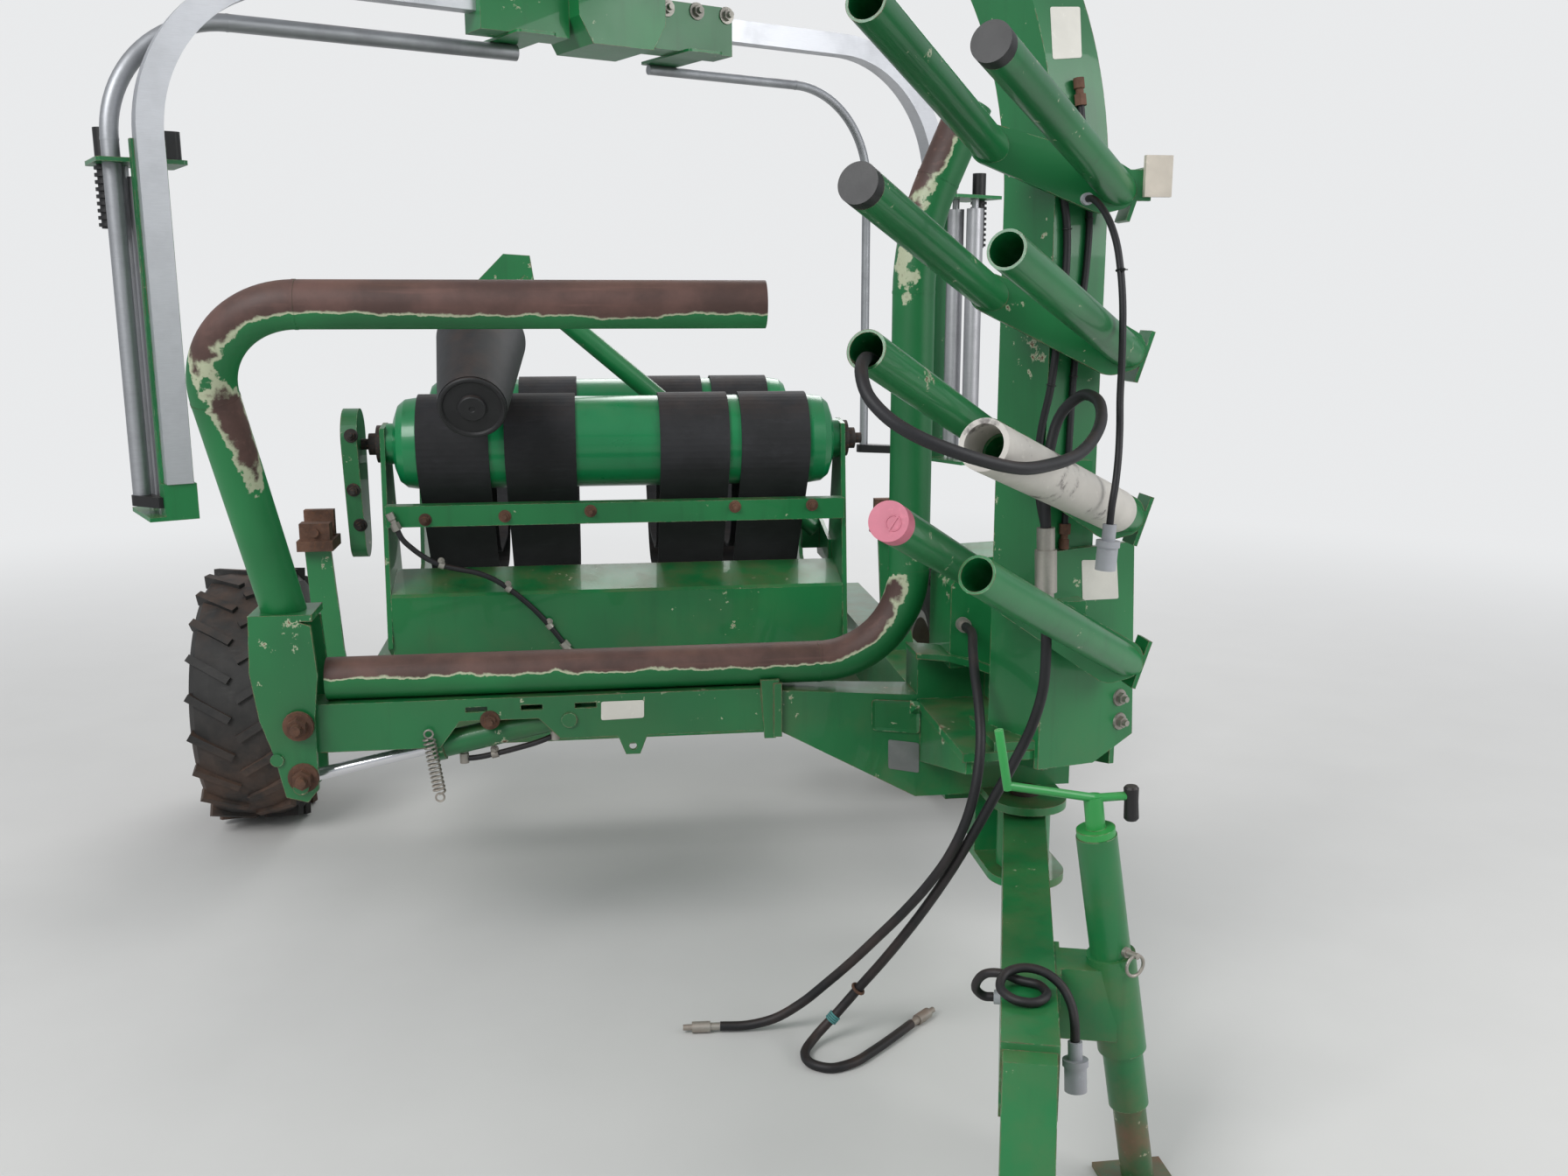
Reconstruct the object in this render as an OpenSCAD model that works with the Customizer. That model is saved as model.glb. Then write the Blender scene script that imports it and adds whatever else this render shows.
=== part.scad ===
// Trailed satellite round bale wrapper, parked on its wheels and its drawbar jack.
// Millimetres. Z is up, the drawbar points to -Y, +X is the side of the mast.
// All places are counted from the wrapping axis, which frame_y moves to the middle of the machine.

/* [Wheels and axle] */
// Distance between the middles of the two tyres
track_w = 2380; // [2200:10:2600]
// Outside diameter of a tyre, over its lugs
tyre_d = 836; // [760:2:900]
// Width of a tyre
tyre_w = 292; // [240:2:320]
// Height of the tyre's lugs
lug_h = 14; // [8:1:20]
// Lugs in each of a tyre's two rows
lug_n = 21; // [16:1:26]
// Diameter of the wheel rim
rim_d = 392; // [360:2:410]
// Width of the square axle beam
axle_w = 110; // [90:2:130]

/* [Chassis] */
// Height of the top of the long chassis box
chassis_z = 640; // [600:5:660]
// Height of the section of the long chassis box
chassis_h = 180; // [150:5:200]
// Width of the long chassis box
chassis_w = 140; // [110:5:160]
// Distance of the middle of the chassis box from the wrapping axis
chassis_x = 860; // [820:5:880]

/* [Front beam and guard tube] */
// Distance of the front beam ahead of the wrapping axis
front_y = 1450; // [1430:5:1500]
// Depth of the front beam from front to back
beam_d = 90; // [80:2:110]
// Height of the front beam
beam_h = 114; // [100:2:130]
// Thickness of the beam's plates
beam_t = 8; // [6:1:10]
// Outside diameter of the guard tube
guard_d = 100; // [80:2:110]
// Height of the middle of the lying guard tube
guard_z = 838; // [800:2:860]
// Distance of the guard tube's upright from the wrapping axis, sideways
guard_x = 678; // [650:2:720]
// Radius of the guard tube's lower bend
guard_bend = 222; // [180:2:260]

/* [Load arm] */
// Distance of the load arm's pivot from the wrapping axis, sideways
arm_pivot_x = 767; // [750:1:790]
// Height of the load arm's pivot
arm_pivot_z = 744; // [730:1:750]
// Distance from the pivot down to the cylinder's pin
arm_crank = 144; // [130:1:160]
// Outside diameter of the load arm tube
arm_d = 100; // [80:2:110]
// Height of the middle of the load arm's upper tube
arm_top_z = 1695; // [1600:5:1750]
// Distance of the upper tube ahead of the wrapping axis
arm_top_y = 1740; // [1700:5:1780]
// Distance of the free end of the upper tube from the wrapping axis, sideways
arm_end_x = 290; // [200:5:340]

/* [Wrapping table] */
// Distance from the wrapping axis to the middle of each drum
drum_y = 480; // [460:5:500]
// Height of the middle of the drums
drum_z = 1290; // [1250:5:1310]
// Diameter of the drums
drum_d = 270; // [240:2:290]
// Length of the drums
drum_l = 1300; // [1250:5:1320]
// Width of each belt
belt_w = 205; // [180:5:220]
// Thickness of the belts
belt_t = 9; // [6:1:12]
// Height of the lowest stretch of the belts
belt_low_z = 800; // [780:5:820]

/* [Satellite] */
// Radius from the wrapping axis to the middle of each leg
sat_r = 1375; // [1350:5:1390]
// Turn of the satellite as it is parked
sat_turn = 26.2; // [20:0.2:30]
// Height of the middle of the arms' level stretch
sat_top_z = 2585; // [2560:5:2590]
// Radius of the arms' bends
sat_bend = 450; // [400:5:460]
// Height of the lower end of each leg
sat_low_z = 1200; // [1180:5:1220]
// Depth of the arms' box section in the plane of the arch
sat_box_h = 70; // [60:2:76]
// Width of the arms' box section
sat_box_w = 60; // [50:2:70]
// Diameter of the stretch rollers
roller_d = 62; // [50:2:66]

/* [Mast] */
// Distance of the mast from the wrapping axis, sideways
mast_x = 885; // [870:5:900]
// Distance of the mast ahead of the wrapping axis
mast_y = 1835; // [1820:5:1850]
// Size of the mast's square box
mast_w = 150; // [140:2:160]
// Distance from the arms' level stretch up to the middle of the mast's level beam
mast_rise = 170; // [165:5:200]
// Radius of the mast's bend
mast_bend = 850; // [800:10:880]
// Outside diameter of the film roll pegs
peg_d = 70; // [60:2:76]

/* [Drawbar and jack] */
// Distance of the drawbar's pivot from the wrapping axis, sideways
bar_pivot_x = 955; // [940:5:970]
// Distance of the drawbar's pivot ahead of the wrapping axis
bar_pivot_y = 1560; // [1540:5:1580]
// Swing of the drawbar as it is parked
bar_swing = 17; // [10:0.5:20]
// Width of the drawbar
bar_w = 100; // [90:2:110]
// Height of the top of the drawbar
bar_top_z = 480; // [460:5:490]
// Height of the drawbar's section
bar_h = 140; // [120:5:150]
// Distance along the drawbar from its pivot to its step
bar_l = 1150; // [1100:10:1200]
// Radius of the hitch eye's bore
hitch_r = 25; // [20:1:28]
// Lean of the jack, outwards at its foot
jack_lean = 9.3; // [6:0.1:12]
// Outside diameter of the jack's outer tube
jack_d = 76; // [70:1:80]

/* [Hidden] */
$fn = 48;
frame_y = 1090;
fit = 0.3;
gap = 6;
axle_z = tyre_d / 2;
mast_top_z = sat_top_z + mast_rise;
beam_top_z = guard_z - guard_d / 2 - fit;
beam_low_z = beam_top_z - beam_h;
beam_left_x = -arm_pivot_x - 62;
beam_right_x = 358;
pin_d = 36;
weld_gap = 1;
weld_l = 7;
mouth = 90;
plate_t = 12;
table_pivot_y = 350;
table_pivot_z = 600;
table_in_x = drum_l / 2 + 22;
side_t = 14;
table_out_x = table_in_x + side_t;
rail_w = 100;
shaft_l = 60;
cross_y = -760;
tip_from = [0, -668, 530];
tip_to = [0, -110, 672];
tip_l = norm(tip_to - tip_from);
cyl_x = -150;
lift_bar_y = tip_to.y + 75;
lift_bar_z = 666;
eye_gap = 31;
hub_up = 74;
hub_down = 110;
foot_z = sat_low_z - 90;
roller_top_z = 2070;
leg_side = sat_box_h / 2 + fit;
foot_plate_x = [-mast_w / 2, 94, 216, 192];
foot_plate_top = 1185;
collar_l = 240;
cyl_z = 728;

green = "seagreen";

// Places the wrapping axis in the machine's frame.
module machine() { translate([0, frame_y, 0]) children(); }

// A round bar or tube between two points, bored right through when bore is over 0.
module bar_between(a, b, d, bore = 0) {
    v = b - a;
    l = norm(v);
    translate(a) rotate([0, acos(v.z / l), atan2(v.y, v.x)])
        difference() {
            cylinder(d = d, h = l);
            if (bore > 0) translate([0, 0, -1]) cylinder(d = bore, h = l + 2);
        }
}

// Bends a flat section, drawn about the origin, along an arc that leaves along +Z and turns towards +X.
// The bend is trimmed by the angle trim at both ends.
module bend_section(r, turn, trim = 0) {
    translate([r, 0, 0]) rotate([90, 0, 180]) rotate([0, 0, trim])
        rotate_extrude(angle = turn - 2 * trim) translate([r, 0]) children();
}

// Where a bend ends, and which way it then points.
module after_bend(r, turn) {
    translate([r * (1 - cos(turn)), 0, r * sin(turn)]) rotate([0, turn, 0]) children();
}

// A straight stretch of round bar along +Z, welded at both ends, with what follows it at its end.
module bar_straight(l, d) {
    translate([0, 0, weld_gap]) cylinder(d = d, h = l - 2 * weld_gap);
    translate([0, 0, l]) {
        weld_ring(d);
        children();
    }
}

// A bend of round bar, welded at both ends, with what follows it at its end.
module bar_bend(r, turn, d) {
    bend_section(r, turn, weld_gap / r * 180 / PI) circle(d = d);
    after_bend(r, turn) {
        weld_ring(d);
        children();
    }
}

// The flat weld that joins two stretches of a bent bar.
module weld_ring(d) { translate([0, 0, -weld_l / 2]) cylinder(d = d + 1.6, h = weld_l); }

// The last stretch of a bent bar, bored open at its free end.
module bar_mouth(l, d, mouth) {
    difference() {
        translate([0, 0, weld_gap]) cylinder(d = d, h = l - weld_gap);
        translate([0, 0, l - mouth]) cylinder(d = d - 10, h = mouth + 1);
    }
}

// A square plate outline with its corners rounded.
module rounded_rect(w, h, r) {
    hull() for (x = [r, w - r], y = [r, h - r]) translate([x, y]) circle(r = r, $fn = 24);
}

// Stands a flat outline drawn in X and Z upright, its back at y and its thickness towards +Y.
module upright(y, t) { translate([0, y + t, 0]) rotate([90, 0, 0]) linear_extrude(t) children(); }

// Stands a flat outline drawn in Y and Z upright, from x with its thickness towards +X.
module sideways(x, t) { translate([x, 0, 0]) rotate([90, 0, 90]) linear_extrude(t) children(); }

// Wheels and axle

module rim() {
    disc_t = 12;
    color("seagreen") rotate([0, 90, 0]) difference() {
        union() {
            rotate_extrude() polygon([
                [rim_d / 2 - 14, -tyre_w * 0.4], [rim_d / 2 + 16, -tyre_w * 0.4],
                [rim_d / 2 + 16, -tyre_w * 0.37], [rim_d / 2, -tyre_w * 0.33],
                [rim_d / 2, tyre_w * 0.33], [rim_d / 2 + 16, tyre_w * 0.37],
                [rim_d / 2 + 16, tyre_w * 0.4], [rim_d / 2 - 14, tyre_w * 0.4]]);
            cylinder(d = rim_d - 20, h = disc_t);
            translate([0, 0, -60]) cylinder(d = 130, h = 130);
        }
        translate([0, 0, -120]) cylinder(d = 50, h = 150);
        for (i = [0:4]) rotate(i * 72 + 36) translate([132, 0, -1]) cylinder(d = 34, h = disc_t + 2);
    }
}

// A bellied carcass with two staggered rows of slanted lugs.
module tyre() {
    r0 = rim_d / 2 + 16 + fit;
    r1 = tyre_d / 2 - lug_h;
    w = tyre_w;
    lug_w = 24;
    lug_l = w * 0.5;
    slant = 32;
    half = lug_l / 2 * sin(slant) + lug_w / 2 * cos(slant);
    top = sqrt(pow(tyre_d / 2, 2) - half * half);
    color("dimgray") {
        rotate([0, 90, 0]) rotate_extrude($fn = 72) polygon([
            [rim_d / 2 + fit, -w * 0.33 + 2], [r0, -w * 0.37 + 2], [r0, -w * 0.42], [r0 + 50, -w * 0.49],
            [r0 + 90, -w * 0.5], [r1 - 34, -w * 0.47], [r1 - 8, -w * 0.4], [r1, -w * 0.24],
            [r1, w * 0.24], [r1 - 8, w * 0.4], [r1 - 34, w * 0.47],
            [r0 + 90, w * 0.5], [r0 + 50, w * 0.49], [r0, w * 0.42], [r0, w * 0.37 - 2], [rim_d / 2 + fit, w * 0.33 - 2]]);
        for (side = [-1, 1], i = [0:lug_n - 1]) rotate([(i + side / 4) * 360 / lug_n, 0, 0])
            translate([side * w * 0.245, 0, 0]) rotate([0, 0, side * slant])
                translate([-lug_l / 2, -lug_w / 2, r1 - 32]) cube([lug_l, lug_w, top - r1 + 32]);
    }
}

module wheel_place(side) { translate([side * track_w / 2, 0, axle_z]) children(); }

// Square beam with a spindle at each end, which fills the hub's bore but for its running clearance.
module axle_beam() {
    spindle = 50 - 0.1;
    reach = track_w / 2 - 75;
    color(green) {
        translate([-reach, -axle_w / 2, axle_z - axle_w / 2]) cube([2 * reach, axle_w, axle_w]);
        for (s = [-1, 1]) translate([s * (reach - 1), 0, axle_z]) rotate([0, s * 90, 0])
            cylinder(d = spindle, h = 100);
    }
}

// Long box on the mast's side, a cross box ahead of the table, a side rail and the table's pivot ears.
module chassis_box() {
    front = -front_y + 60;
    low = chassis_z - chassis_h;
    rear = table_pivot_y + 120;
    ear_x = table_out_x + gap;
    color(green) difference() {
        union() {
            translate([chassis_x - chassis_w / 2, front, low]) cube([chassis_w, rear - front, chassis_h]);
            translate([-ear_x - rail_w, cross_y - rail_w / 2, low])
                cube([ear_x + rail_w + chassis_x - chassis_w / 2, rail_w, rail_w]);
            translate([-ear_x - rail_w, cross_y - rail_w / 2, low]) cube([rail_w, rear - cross_y + rail_w / 2, rail_w]);
            translate([-ear_x - 12, table_pivot_y - 60, low]) cube([12, 120, table_pivot_z + 60 - low]);
            translate([ear_x, table_pivot_y - 60, low + 30]) cube([12, 120, table_pivot_z + 60 - low - 30]);
            translate([ear_x, table_pivot_y - 60, low + 40])
                cube([chassis_x - chassis_w / 2 - ear_x + 1, 120, 70]);
            for (x = [-26 - 12, 26]) translate([x, cross_y + rail_w / 2 - 1, low + 20]) cube([12, 56, 75]);
        }
        for (s = [-1, 1]) translate([s * (ear_x + 6) - 20, table_pivot_y, table_pivot_z])
            rotate([0, 90, 0]) cylinder(d = pin_d, h = 40);
        translate([-60, tip_from.y, tip_from.z]) rotate([0, 90, 0]) cylinder(d = pin_d, h = 120);
        translate([-980, -axle_w / 2 - fit, axle_z - axle_w / 2 - fit])
            cube([2000, axle_w + 2 * fit, axle_w + 2 * fit]);
    }
}

// Front beam, guard tube and load arm

module beam_outline() {
    polygon([
        [beam_left_x, beam_low_z + 20], [beam_left_x + 40, beam_low_z - 2], [-452, beam_low_z - 2],
        [-405, beam_low_z + 60], [-222, beam_low_z + 60], [-172, beam_low_z + 8],
        [-36, beam_low_z + 8], [-18, beam_low_z - 38], [16, beam_low_z - 38], [34, beam_low_z + 8],
        [beam_right_x - 24, beam_low_z + 8], [beam_right_x, beam_low_z - 6],
        [beam_right_x, beam_top_z], [beam_left_x, beam_top_z]]);
}

// Channel open below: two scalloped side plates under one top plate, with the pins' holes.
module front_beam() {
    y0 = -front_y - beam_d / 2;
    color(green) difference() {
        union() {
            upright(y0, beam_t) beam_outline();
            upright(y0 + beam_d - beam_t, beam_t) beam_outline();
            translate([beam_left_x, y0 + 1, beam_top_z - beam_t]) cube([beam_right_x - beam_left_x, beam_d - 2, beam_t]);
            translate([beam_right_x - beam_t, y0 + 1, beam_low_z]) cube([beam_t, beam_d - 2, beam_h - 1]);
            translate([beam_right_x - 20, y0 - 14, beam_low_z - 6]) cube([20, 14.5, beam_h + 20]);
            upright(y0 - 9, 9.5) polygon([[306, beam_top_z + 22], [316, beam_low_z - 10], [344, beam_low_z - 10], [352, beam_top_z + 22]]);
        }
        for (p = [[-arm_pivot_x, arm_pivot_z], [cyl_x, cyl_z]]) translate([p.x, y0 - 1, p.y])
            rotate([-90, 0, 0]) cylinder(d = pin_d, h = beam_d + 2);
        translate([-1, y0 - 1, beam_low_z - 18]) rotate([-90, 0, 0]) cylinder(d = 18, h = beam_d + 2);
        for (x = [-390, -262, -136]) translate([x, y0 - 1, beam_top_z - 32]) cube([50, beam_t + 2, 12]);
    }
}

// Lies along the beam, bends up beside the mast and leans outwards at its top, which is open.
module guard_tube() {
    lean = 23.5;
    lean_r = 640;
    lean_z = 1722;
    left_x = -707;
    color(green) translate([left_x, -front_y, guard_z]) rotate([0, 90, 0]) rotate([0, 0, 180])
        bar_straight(guard_x - guard_bend - left_x, guard_d)
        bar_bend(guard_bend, 90, guard_d)
        bar_straight(lean_z - guard_z - guard_bend, guard_d)
        rotate([0, 0, 180]) bar_bend(lean_r, lean, guard_d)
        bar_mouth(185, guard_d, mouth);
}

module lever_outline() {
    px = -arm_pivot_x;
    pz = arm_pivot_z;
    polygon([
        [px - 36, pz - arm_crank - 26], [px + 12, pz - arm_crank - 40], [px + 38, pz - arm_crank - 10],
        [px + 40, pz + 20], [px + 52, pz + 120], [px + 44, pz + 236], [px - 30, pz + 262],
        [px - 92, pz + 250], [px - 98, pz + 130], [px - 84, pz + 20], [px - 56, pz - 70]]);
}

// Two cheeks outside the front beam, joined by the pivot pin and the cylinder's pin.
module load_lever() {
    span = beam_d + 2 * (gap + 5);
    y0 = -front_y - span / 2;
    color(green) difference() {
        union() {
            for (y = [y0 - plate_t, y0 + span]) upright(y, plate_t) lever_outline();
            translate([-arm_pivot_x, y0 - plate_t - 10, arm_pivot_z])
                rotate([-90, 0, 0]) cylinder(d = pin_d - 0.1, h = span + 2 * plate_t + 20);
            for (y = [y0 - plate_t - 10, y0 + span]) translate([-arm_pivot_x, y, arm_pivot_z - arm_crank])
                rotate([-90, 0, 0]) cylinder(d = pin_d, h = plate_t + 10);
            translate([-arm_pivot_x, y0 - plate_t - 8, arm_pivot_z]) rotate([-90, 0, 0]) cylinder(d = 60, h = 8.5);
            translate([-arm_pivot_x - 50, y0 - plate_t - 6, arm_pivot_z - 78]) rotate([-90, 0, 0]) cylinder(d = 30, h = 7);
            translate([-arm_pivot_x - 92, y0 - plate_t, arm_pivot_z + 246]) cube([140, span + 2 * plate_t, 16]);
        }
    }
}

// The arm's tube leans forward from the lever, bends and then runs level to its open end.
module load_arm_tube() {
    foot = [-arm_pivot_x - 26, -front_y, arm_pivot_z + 262 + fit];
    forward = atan2(arm_top_y - front_y, arm_top_z - foot.z);
    rise = norm([arm_top_y - front_y, arm_top_z - foot.z]);
    outward = 6.5;
    r = 190;
    first = (rise - r * (1 + sin(outward))) / cos(outward);
    level_x = foot.x - first * sin(outward) + r * cos(outward);
    level = arm_end_x - level_x;
    color("sienna") difference() {
        translate(foot) rotate([forward, 0, 0]) rotate([0, -outward, 0]) translate([0, 0, -20])
            bar_straight(first + 20, arm_d)
            bar_bend(r, 90 + outward, arm_d)
            bar_mouth(level, arm_d, mouth);
        translate(foot - [200, 200, 100]) cube([400, 400, 100]);
    }
}

// Cylinder frame: x runs from the barrel's pin towards the rod's eye.
module arm_cylinder_place() {
    dx = -arm_pivot_x - cyl_x;
    dz = arm_pivot_z - arm_crank - cyl_z;
    translate([cyl_x, -front_y, cyl_z]) rotate([0, -atan2(dz, dx), 0]) children();
}

arm_cyl_l = norm([-arm_pivot_x - cyl_x, arm_pivot_z - arm_crank - cyl_z]);

// Hollow barrel with a bored eye at its blind end and a gland at the other.
module cylinder_barrel(l, d, rod) {
    rotate([0, 90, 0]) difference() {
        union() {
            translate([0, 0, 24]) cylinder(d = d, h = l - 24);
            translate([0, 0, l - 26]) cylinder(d = d + 10, h = 26);
            rotate([90, 0, 0]) cylinder(d = pin_d + 24, h = d * 0.7, center = true);
        }
        translate([0, 0, 40]) cylinder(d = rod + 8, h = l);
        rotate([90, 0, 0]) cylinder(d = pin_d, h = d, center = true);
    }
}

module cylinder_rod(from, to, rod, eye_w) {
    rotate([0, 90, 0]) difference() {
        union() {
            translate([0, 0, from]) cylinder(d = rod, h = to - from);
            translate([0, 0, from]) cylinder(d = rod + 7.6, h = 20);
            translate([0, 0, to]) rotate([90, 0, 0]) cylinder(d = pin_d + 22, h = eye_w, center = true);
        }
        translate([0, 0, to]) rotate([90, 0, 0]) cylinder(d = pin_d, h = eye_w + 2, center = true);
    }
}

module arm_barrel() {
    color(green) {
        arm_cylinder_place() cylinder_barrel(330, 62, 30);
        translate([cyl_x, -front_y - beam_d / 2 - 6, cyl_z]) rotate([-90, 0, 0])
            cylinder(d = pin_d - 0.1, h = beam_d + 12);
    }
}

module arm_rod() { color("silver") arm_cylinder_place() cylinder_rod(210, arm_cyl_l, 30, 50); }

// Pivot housing at the front corner: wedge box, drawbar ears and the mast's shelf, up against the chassis box.
module pivot_housing() {
    y_front = -front_y - 62;
    y_back = -front_y + 60 - fit;
    ear_z = [bar_top_z + 14, bar_top_z - bar_h - 34];
    color(green) difference() {
        union() {
            hull() {
                translate([beam_right_x + fit, -front_y - 45, beam_low_z + 2]) cube([10, 90, beam_h - 10]);
                translate([690, y_front, 500]) cube([10, y_back - y_front, 260]);
            }
            translate([690, y_front, 500]) cube([170, y_back - y_front, 350]);
            translate([790, y_back - 32, 455]) cube([140, 32, 200]);
            for (z = ear_z) {
                translate([bar_pivot_x - 95, -bar_pivot_y - 20, z]) cube([190, bar_pivot_y + 20 + y_back, 20]);
                translate([bar_pivot_x, -bar_pivot_y - 20, z]) cylinder(r = 95, h = 20);
            }
            translate([860, y_back - 70, bar_top_z - bar_h - 34]) cube([190, 70, bar_h + 68]);
            translate([860, y_front, bar_top_z + 34]) cube([225, y_back - y_front, 240]);
            translate([690, -mast_y - 105, 730]) cube([395, mast_y + 105 + y_back, 20]);
            upright(-front_y - 150, 200) polygon([
                [746, 849], [746, 1045], [785, 1112], [925, 1118], [958, 1060], [958, 753], [859, 753], [859, 849]]);
            upright(-front_y - 172, 112) polygon([
                [660, 880], [660, 894], [735, 886], [810, 868], [880, 838], [946, 800], [946, 784], [875, 822], [800, 852], [735, 871]]);
            translate([1050, y_front - 6, 668]) cylinder(d = 60, h = 124);
            for (x = [700, 873, 1060]) sideways(x, 14) polygon([
                [y_front + 4, 590], [y_front + 4, 731], [-mast_y - 95, 731], [-mast_y - 95, 700]]);
        }
        translate([bar_pivot_x, -bar_pivot_y, bar_top_z - bar_h - 60]) cylinder(d = 50, h = bar_h + 140);
        before_mast(-0.5 - fit);
    }
}

// Pin that carries the drawbar, with a flat head on top.
module drawbar_pin() {
    low = bar_top_z - bar_h - 46;
    color("dimgray") translate([bar_pivot_x, -bar_pivot_y, low]) {
        cylinder(d = 49.9, h = bar_h + 92);
        translate([0, 0, bar_h + 80 + fit]) cylinder(d = 74, h = 12);
    }
}

// Mast

mast_turn = atan2(mast_x, mast_y);
mast_reach = norm([mast_x, mast_y]);

module mast_place() { translate([mast_x, -mast_y, 0]) rotate([0, 0, mast_turn]) children(); }

// Square box that bends over towards the wrapping axis, on a bolted foot.
module mast_column() {
    base_z = 750 + fit;
    bend_z = mast_top_z - mast_bend;
    color(green) {
        mast_place() {
            sideways(-mast_w / 2, mast_w) {
                translate([-mast_w / 2, base_z + 5]) square([mast_w, bend_z - base_z + 5]);
                translate([mast_bend, bend_z]) intersection() {
                    difference() {
                        circle(r = mast_bend + mast_w / 2, $fn = 96);
                        circle(r = mast_bend - mast_w / 2, $fn = 96);
                    }
                    translate([-2 * mast_bend, 0]) square(2 * mast_bend);
                }
            }
        }
        difference() {
            translate([mast_x - 125, -mast_y - 100, base_z]) cube([250, 200, 20]);
            before_mast(0);
        }
        mast_place() upright(-mast_w / 2 - plate_t, plate_t + 0.5) polygon([
            [foot_plate_x[0], 708], [foot_plate_x[1], 693], [foot_plate_x[2], 740],
            [foot_plate_x[3], foot_plate_top], [foot_plate_x[0], foot_plate_top]]);
    }
}

// All that lies ahead of the mast's front face, from some way ahead of it.
module before_mast(ahead) {
    mast_place() translate([-mast_w / 2 - 60, -mast_w / 2 - ahead - 300, 600]) cube([500, 300, foot_plate_top - 599]);
}

module mast_beam() {
    from = mast_bend + fit;
    color(green) {
        mast_place() translate([-mast_w / 2, from, mast_top_z - mast_w / 2]) cube([mast_w, mast_reach - from + 130, mast_w]);
        translate([0, 0, sat_top_z + hub_up + fit]) cylinder(d = 240, h = mast_top_z - mast_w / 2 - sat_top_z - hub_up - fit + 1);
    }
}

// Film roll pegs: columns are base x, base z, tip x, tip z.
pegs = [
    [706, 2002, 359, 2160], [970, 1923, 572, 2095], [714, 1717, 360, 1878], [1004, 1603, 598, 1784],
    [722, 1430, 366, 1623], [1020, 1262, 600, 1450], [700, 1147, 419, 1332], [1033, 951, 563, 1243]
];
peg_base_y = -1955;
peg_tip_y = -2450;
function peg_base(i) = [pegs[i][0], peg_base_y, pegs[i][1]];
function peg_tip(i) = [pegs[i][2], peg_tip_y, pegs[i][3]];
function along(a, b, s) = a + (b - a) * s / norm(b - a);

module roll_pegs() {
    color(green) for (i = [0:7]) difference() {
        bar_between(along(peg_base(i), peg_tip(i), -40), peg_tip(i), peg_d);
        translate([0, peg_base_y - 6 - fit, 0]) cube([3000, 500, 6000]);
        bar_between(along(peg_tip(i), peg_base(i), 156), along(peg_tip(i), peg_base(i), -10), peg_d - 10);
    }
}

// One tapered web for each pair of pegs, with an end plate across the right peg's base and a block
// that fits against the mast's corner.
module peg_brackets() {
    color(green) for (i = [0:2:6]) {
        l = peg_base(i);
        r = peg_base(i + 1);
        upright(peg_base_y - 6, 12) {
            hull() {
                translate([l.x, l.z]) circle(d = peg_d + 8);
                translate([r.x - 30, r.z + 4]) circle(d = peg_d + 38);
                translate([r.x, r.z]) circle(d = peg_d + 16);
            }
            if (i == 0) translate([r.x, r.z - 25]) square([70, 60]);
        }
        translate(r) rotate([0, 18, 0]) translate([38, -6, -54]) cube([9, 62, 108]);
        z = (l.z + r.z) / 2;
        difference() {
            translate([mast_x - 60, peg_base_y, z - 32]) cube([120, 120, 64]);
            mast_place() translate([-mast_w / 2 - fit, -mast_w / 2 - fit, z - 60])
                cube([mast_w + 2 * fit, mast_w + 2 * fit, 120]);
            if (z < foot_plate_top + 32) mast_place() translate([-mast_w / 2 - fit, -mast_w / 2 - plate_t - fit, z - 60])
                cube([2 * mast_w, mast_w, 120]);
        }
    }
}

module peg_caps() {
    color("black") for (i = [1, 2]) {
        t = peg_tip(i);
        bar_between(along(t, peg_base(i), -fit), along(t, peg_base(i), -26), peg_d);
    }
}

module pink_cap() { color("pink") bar_between(along(peg_tip(6), peg_base(6), -fit), along(peg_tip(6), peg_base(6), -40), peg_d); }

module film_core() {
    a = along(peg_base(5), peg_tip(5), 62);
    color("white") bar_between(a, along(a, peg_tip(5), 690), 90, peg_d + 2 * fit);
}

module reflector() { color("silver") translate([1022, peg_base_y - 6 - 12 - fit, 1905]) cube([56, 12, 80]); }

// Wrapping table

belt_x = [-475, -225, 225, 465];

// One closed belt in Y and Z: over both drums, hanging between them.
function arc(c, r, a0, a1, n) = [for (i = [0:n]) c + r * [cos(a0 + (a1 - a0) * i / n), sin(a0 + (a1 - a0) * i / n)]];
function belt_path(r, low) = let(
    under = [170, low + 210], hang = [120, low + 280],
    back = atan2(drum_z - under.y, drum_y - under.x) - acos((210 - drum_d / 2) / norm([drum_y, drum_z] - under)),
    leave = acos((190 + drum_d / 2) / norm([drum_y, drum_z] - hang)) - atan2(drum_z - hang.y, drum_y - hang.x),
    grow = r - drum_d / 2
) concat(
    arc([-drum_y, drum_z], r, 180 - back, leave, 28),
    arc([-hang.x, hang.y], 190 - grow, 180 + leave, 270, 8),
    arc(hang, 190 - grow, 270, 360 - leave, 8),
    arc([drum_y, drum_z], r, 180 - leave, back, 28),
    arc(under, 210 + grow, back, -90, 6),
    arc([-under.x, under.y], 210 + grow, -90, -180 - back, 6));

module belts() {
    r = drum_d / 2 + 2 * fit;
    color([0.13, 0.13, 0.13]) for (x = belt_x) sideways(x - belt_w / 2, belt_w) difference() {
        polygon(belt_path(r + belt_t, belt_low_z + belt_t));
        polygon(belt_path(r, belt_low_z + belt_t));
    }
}

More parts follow.
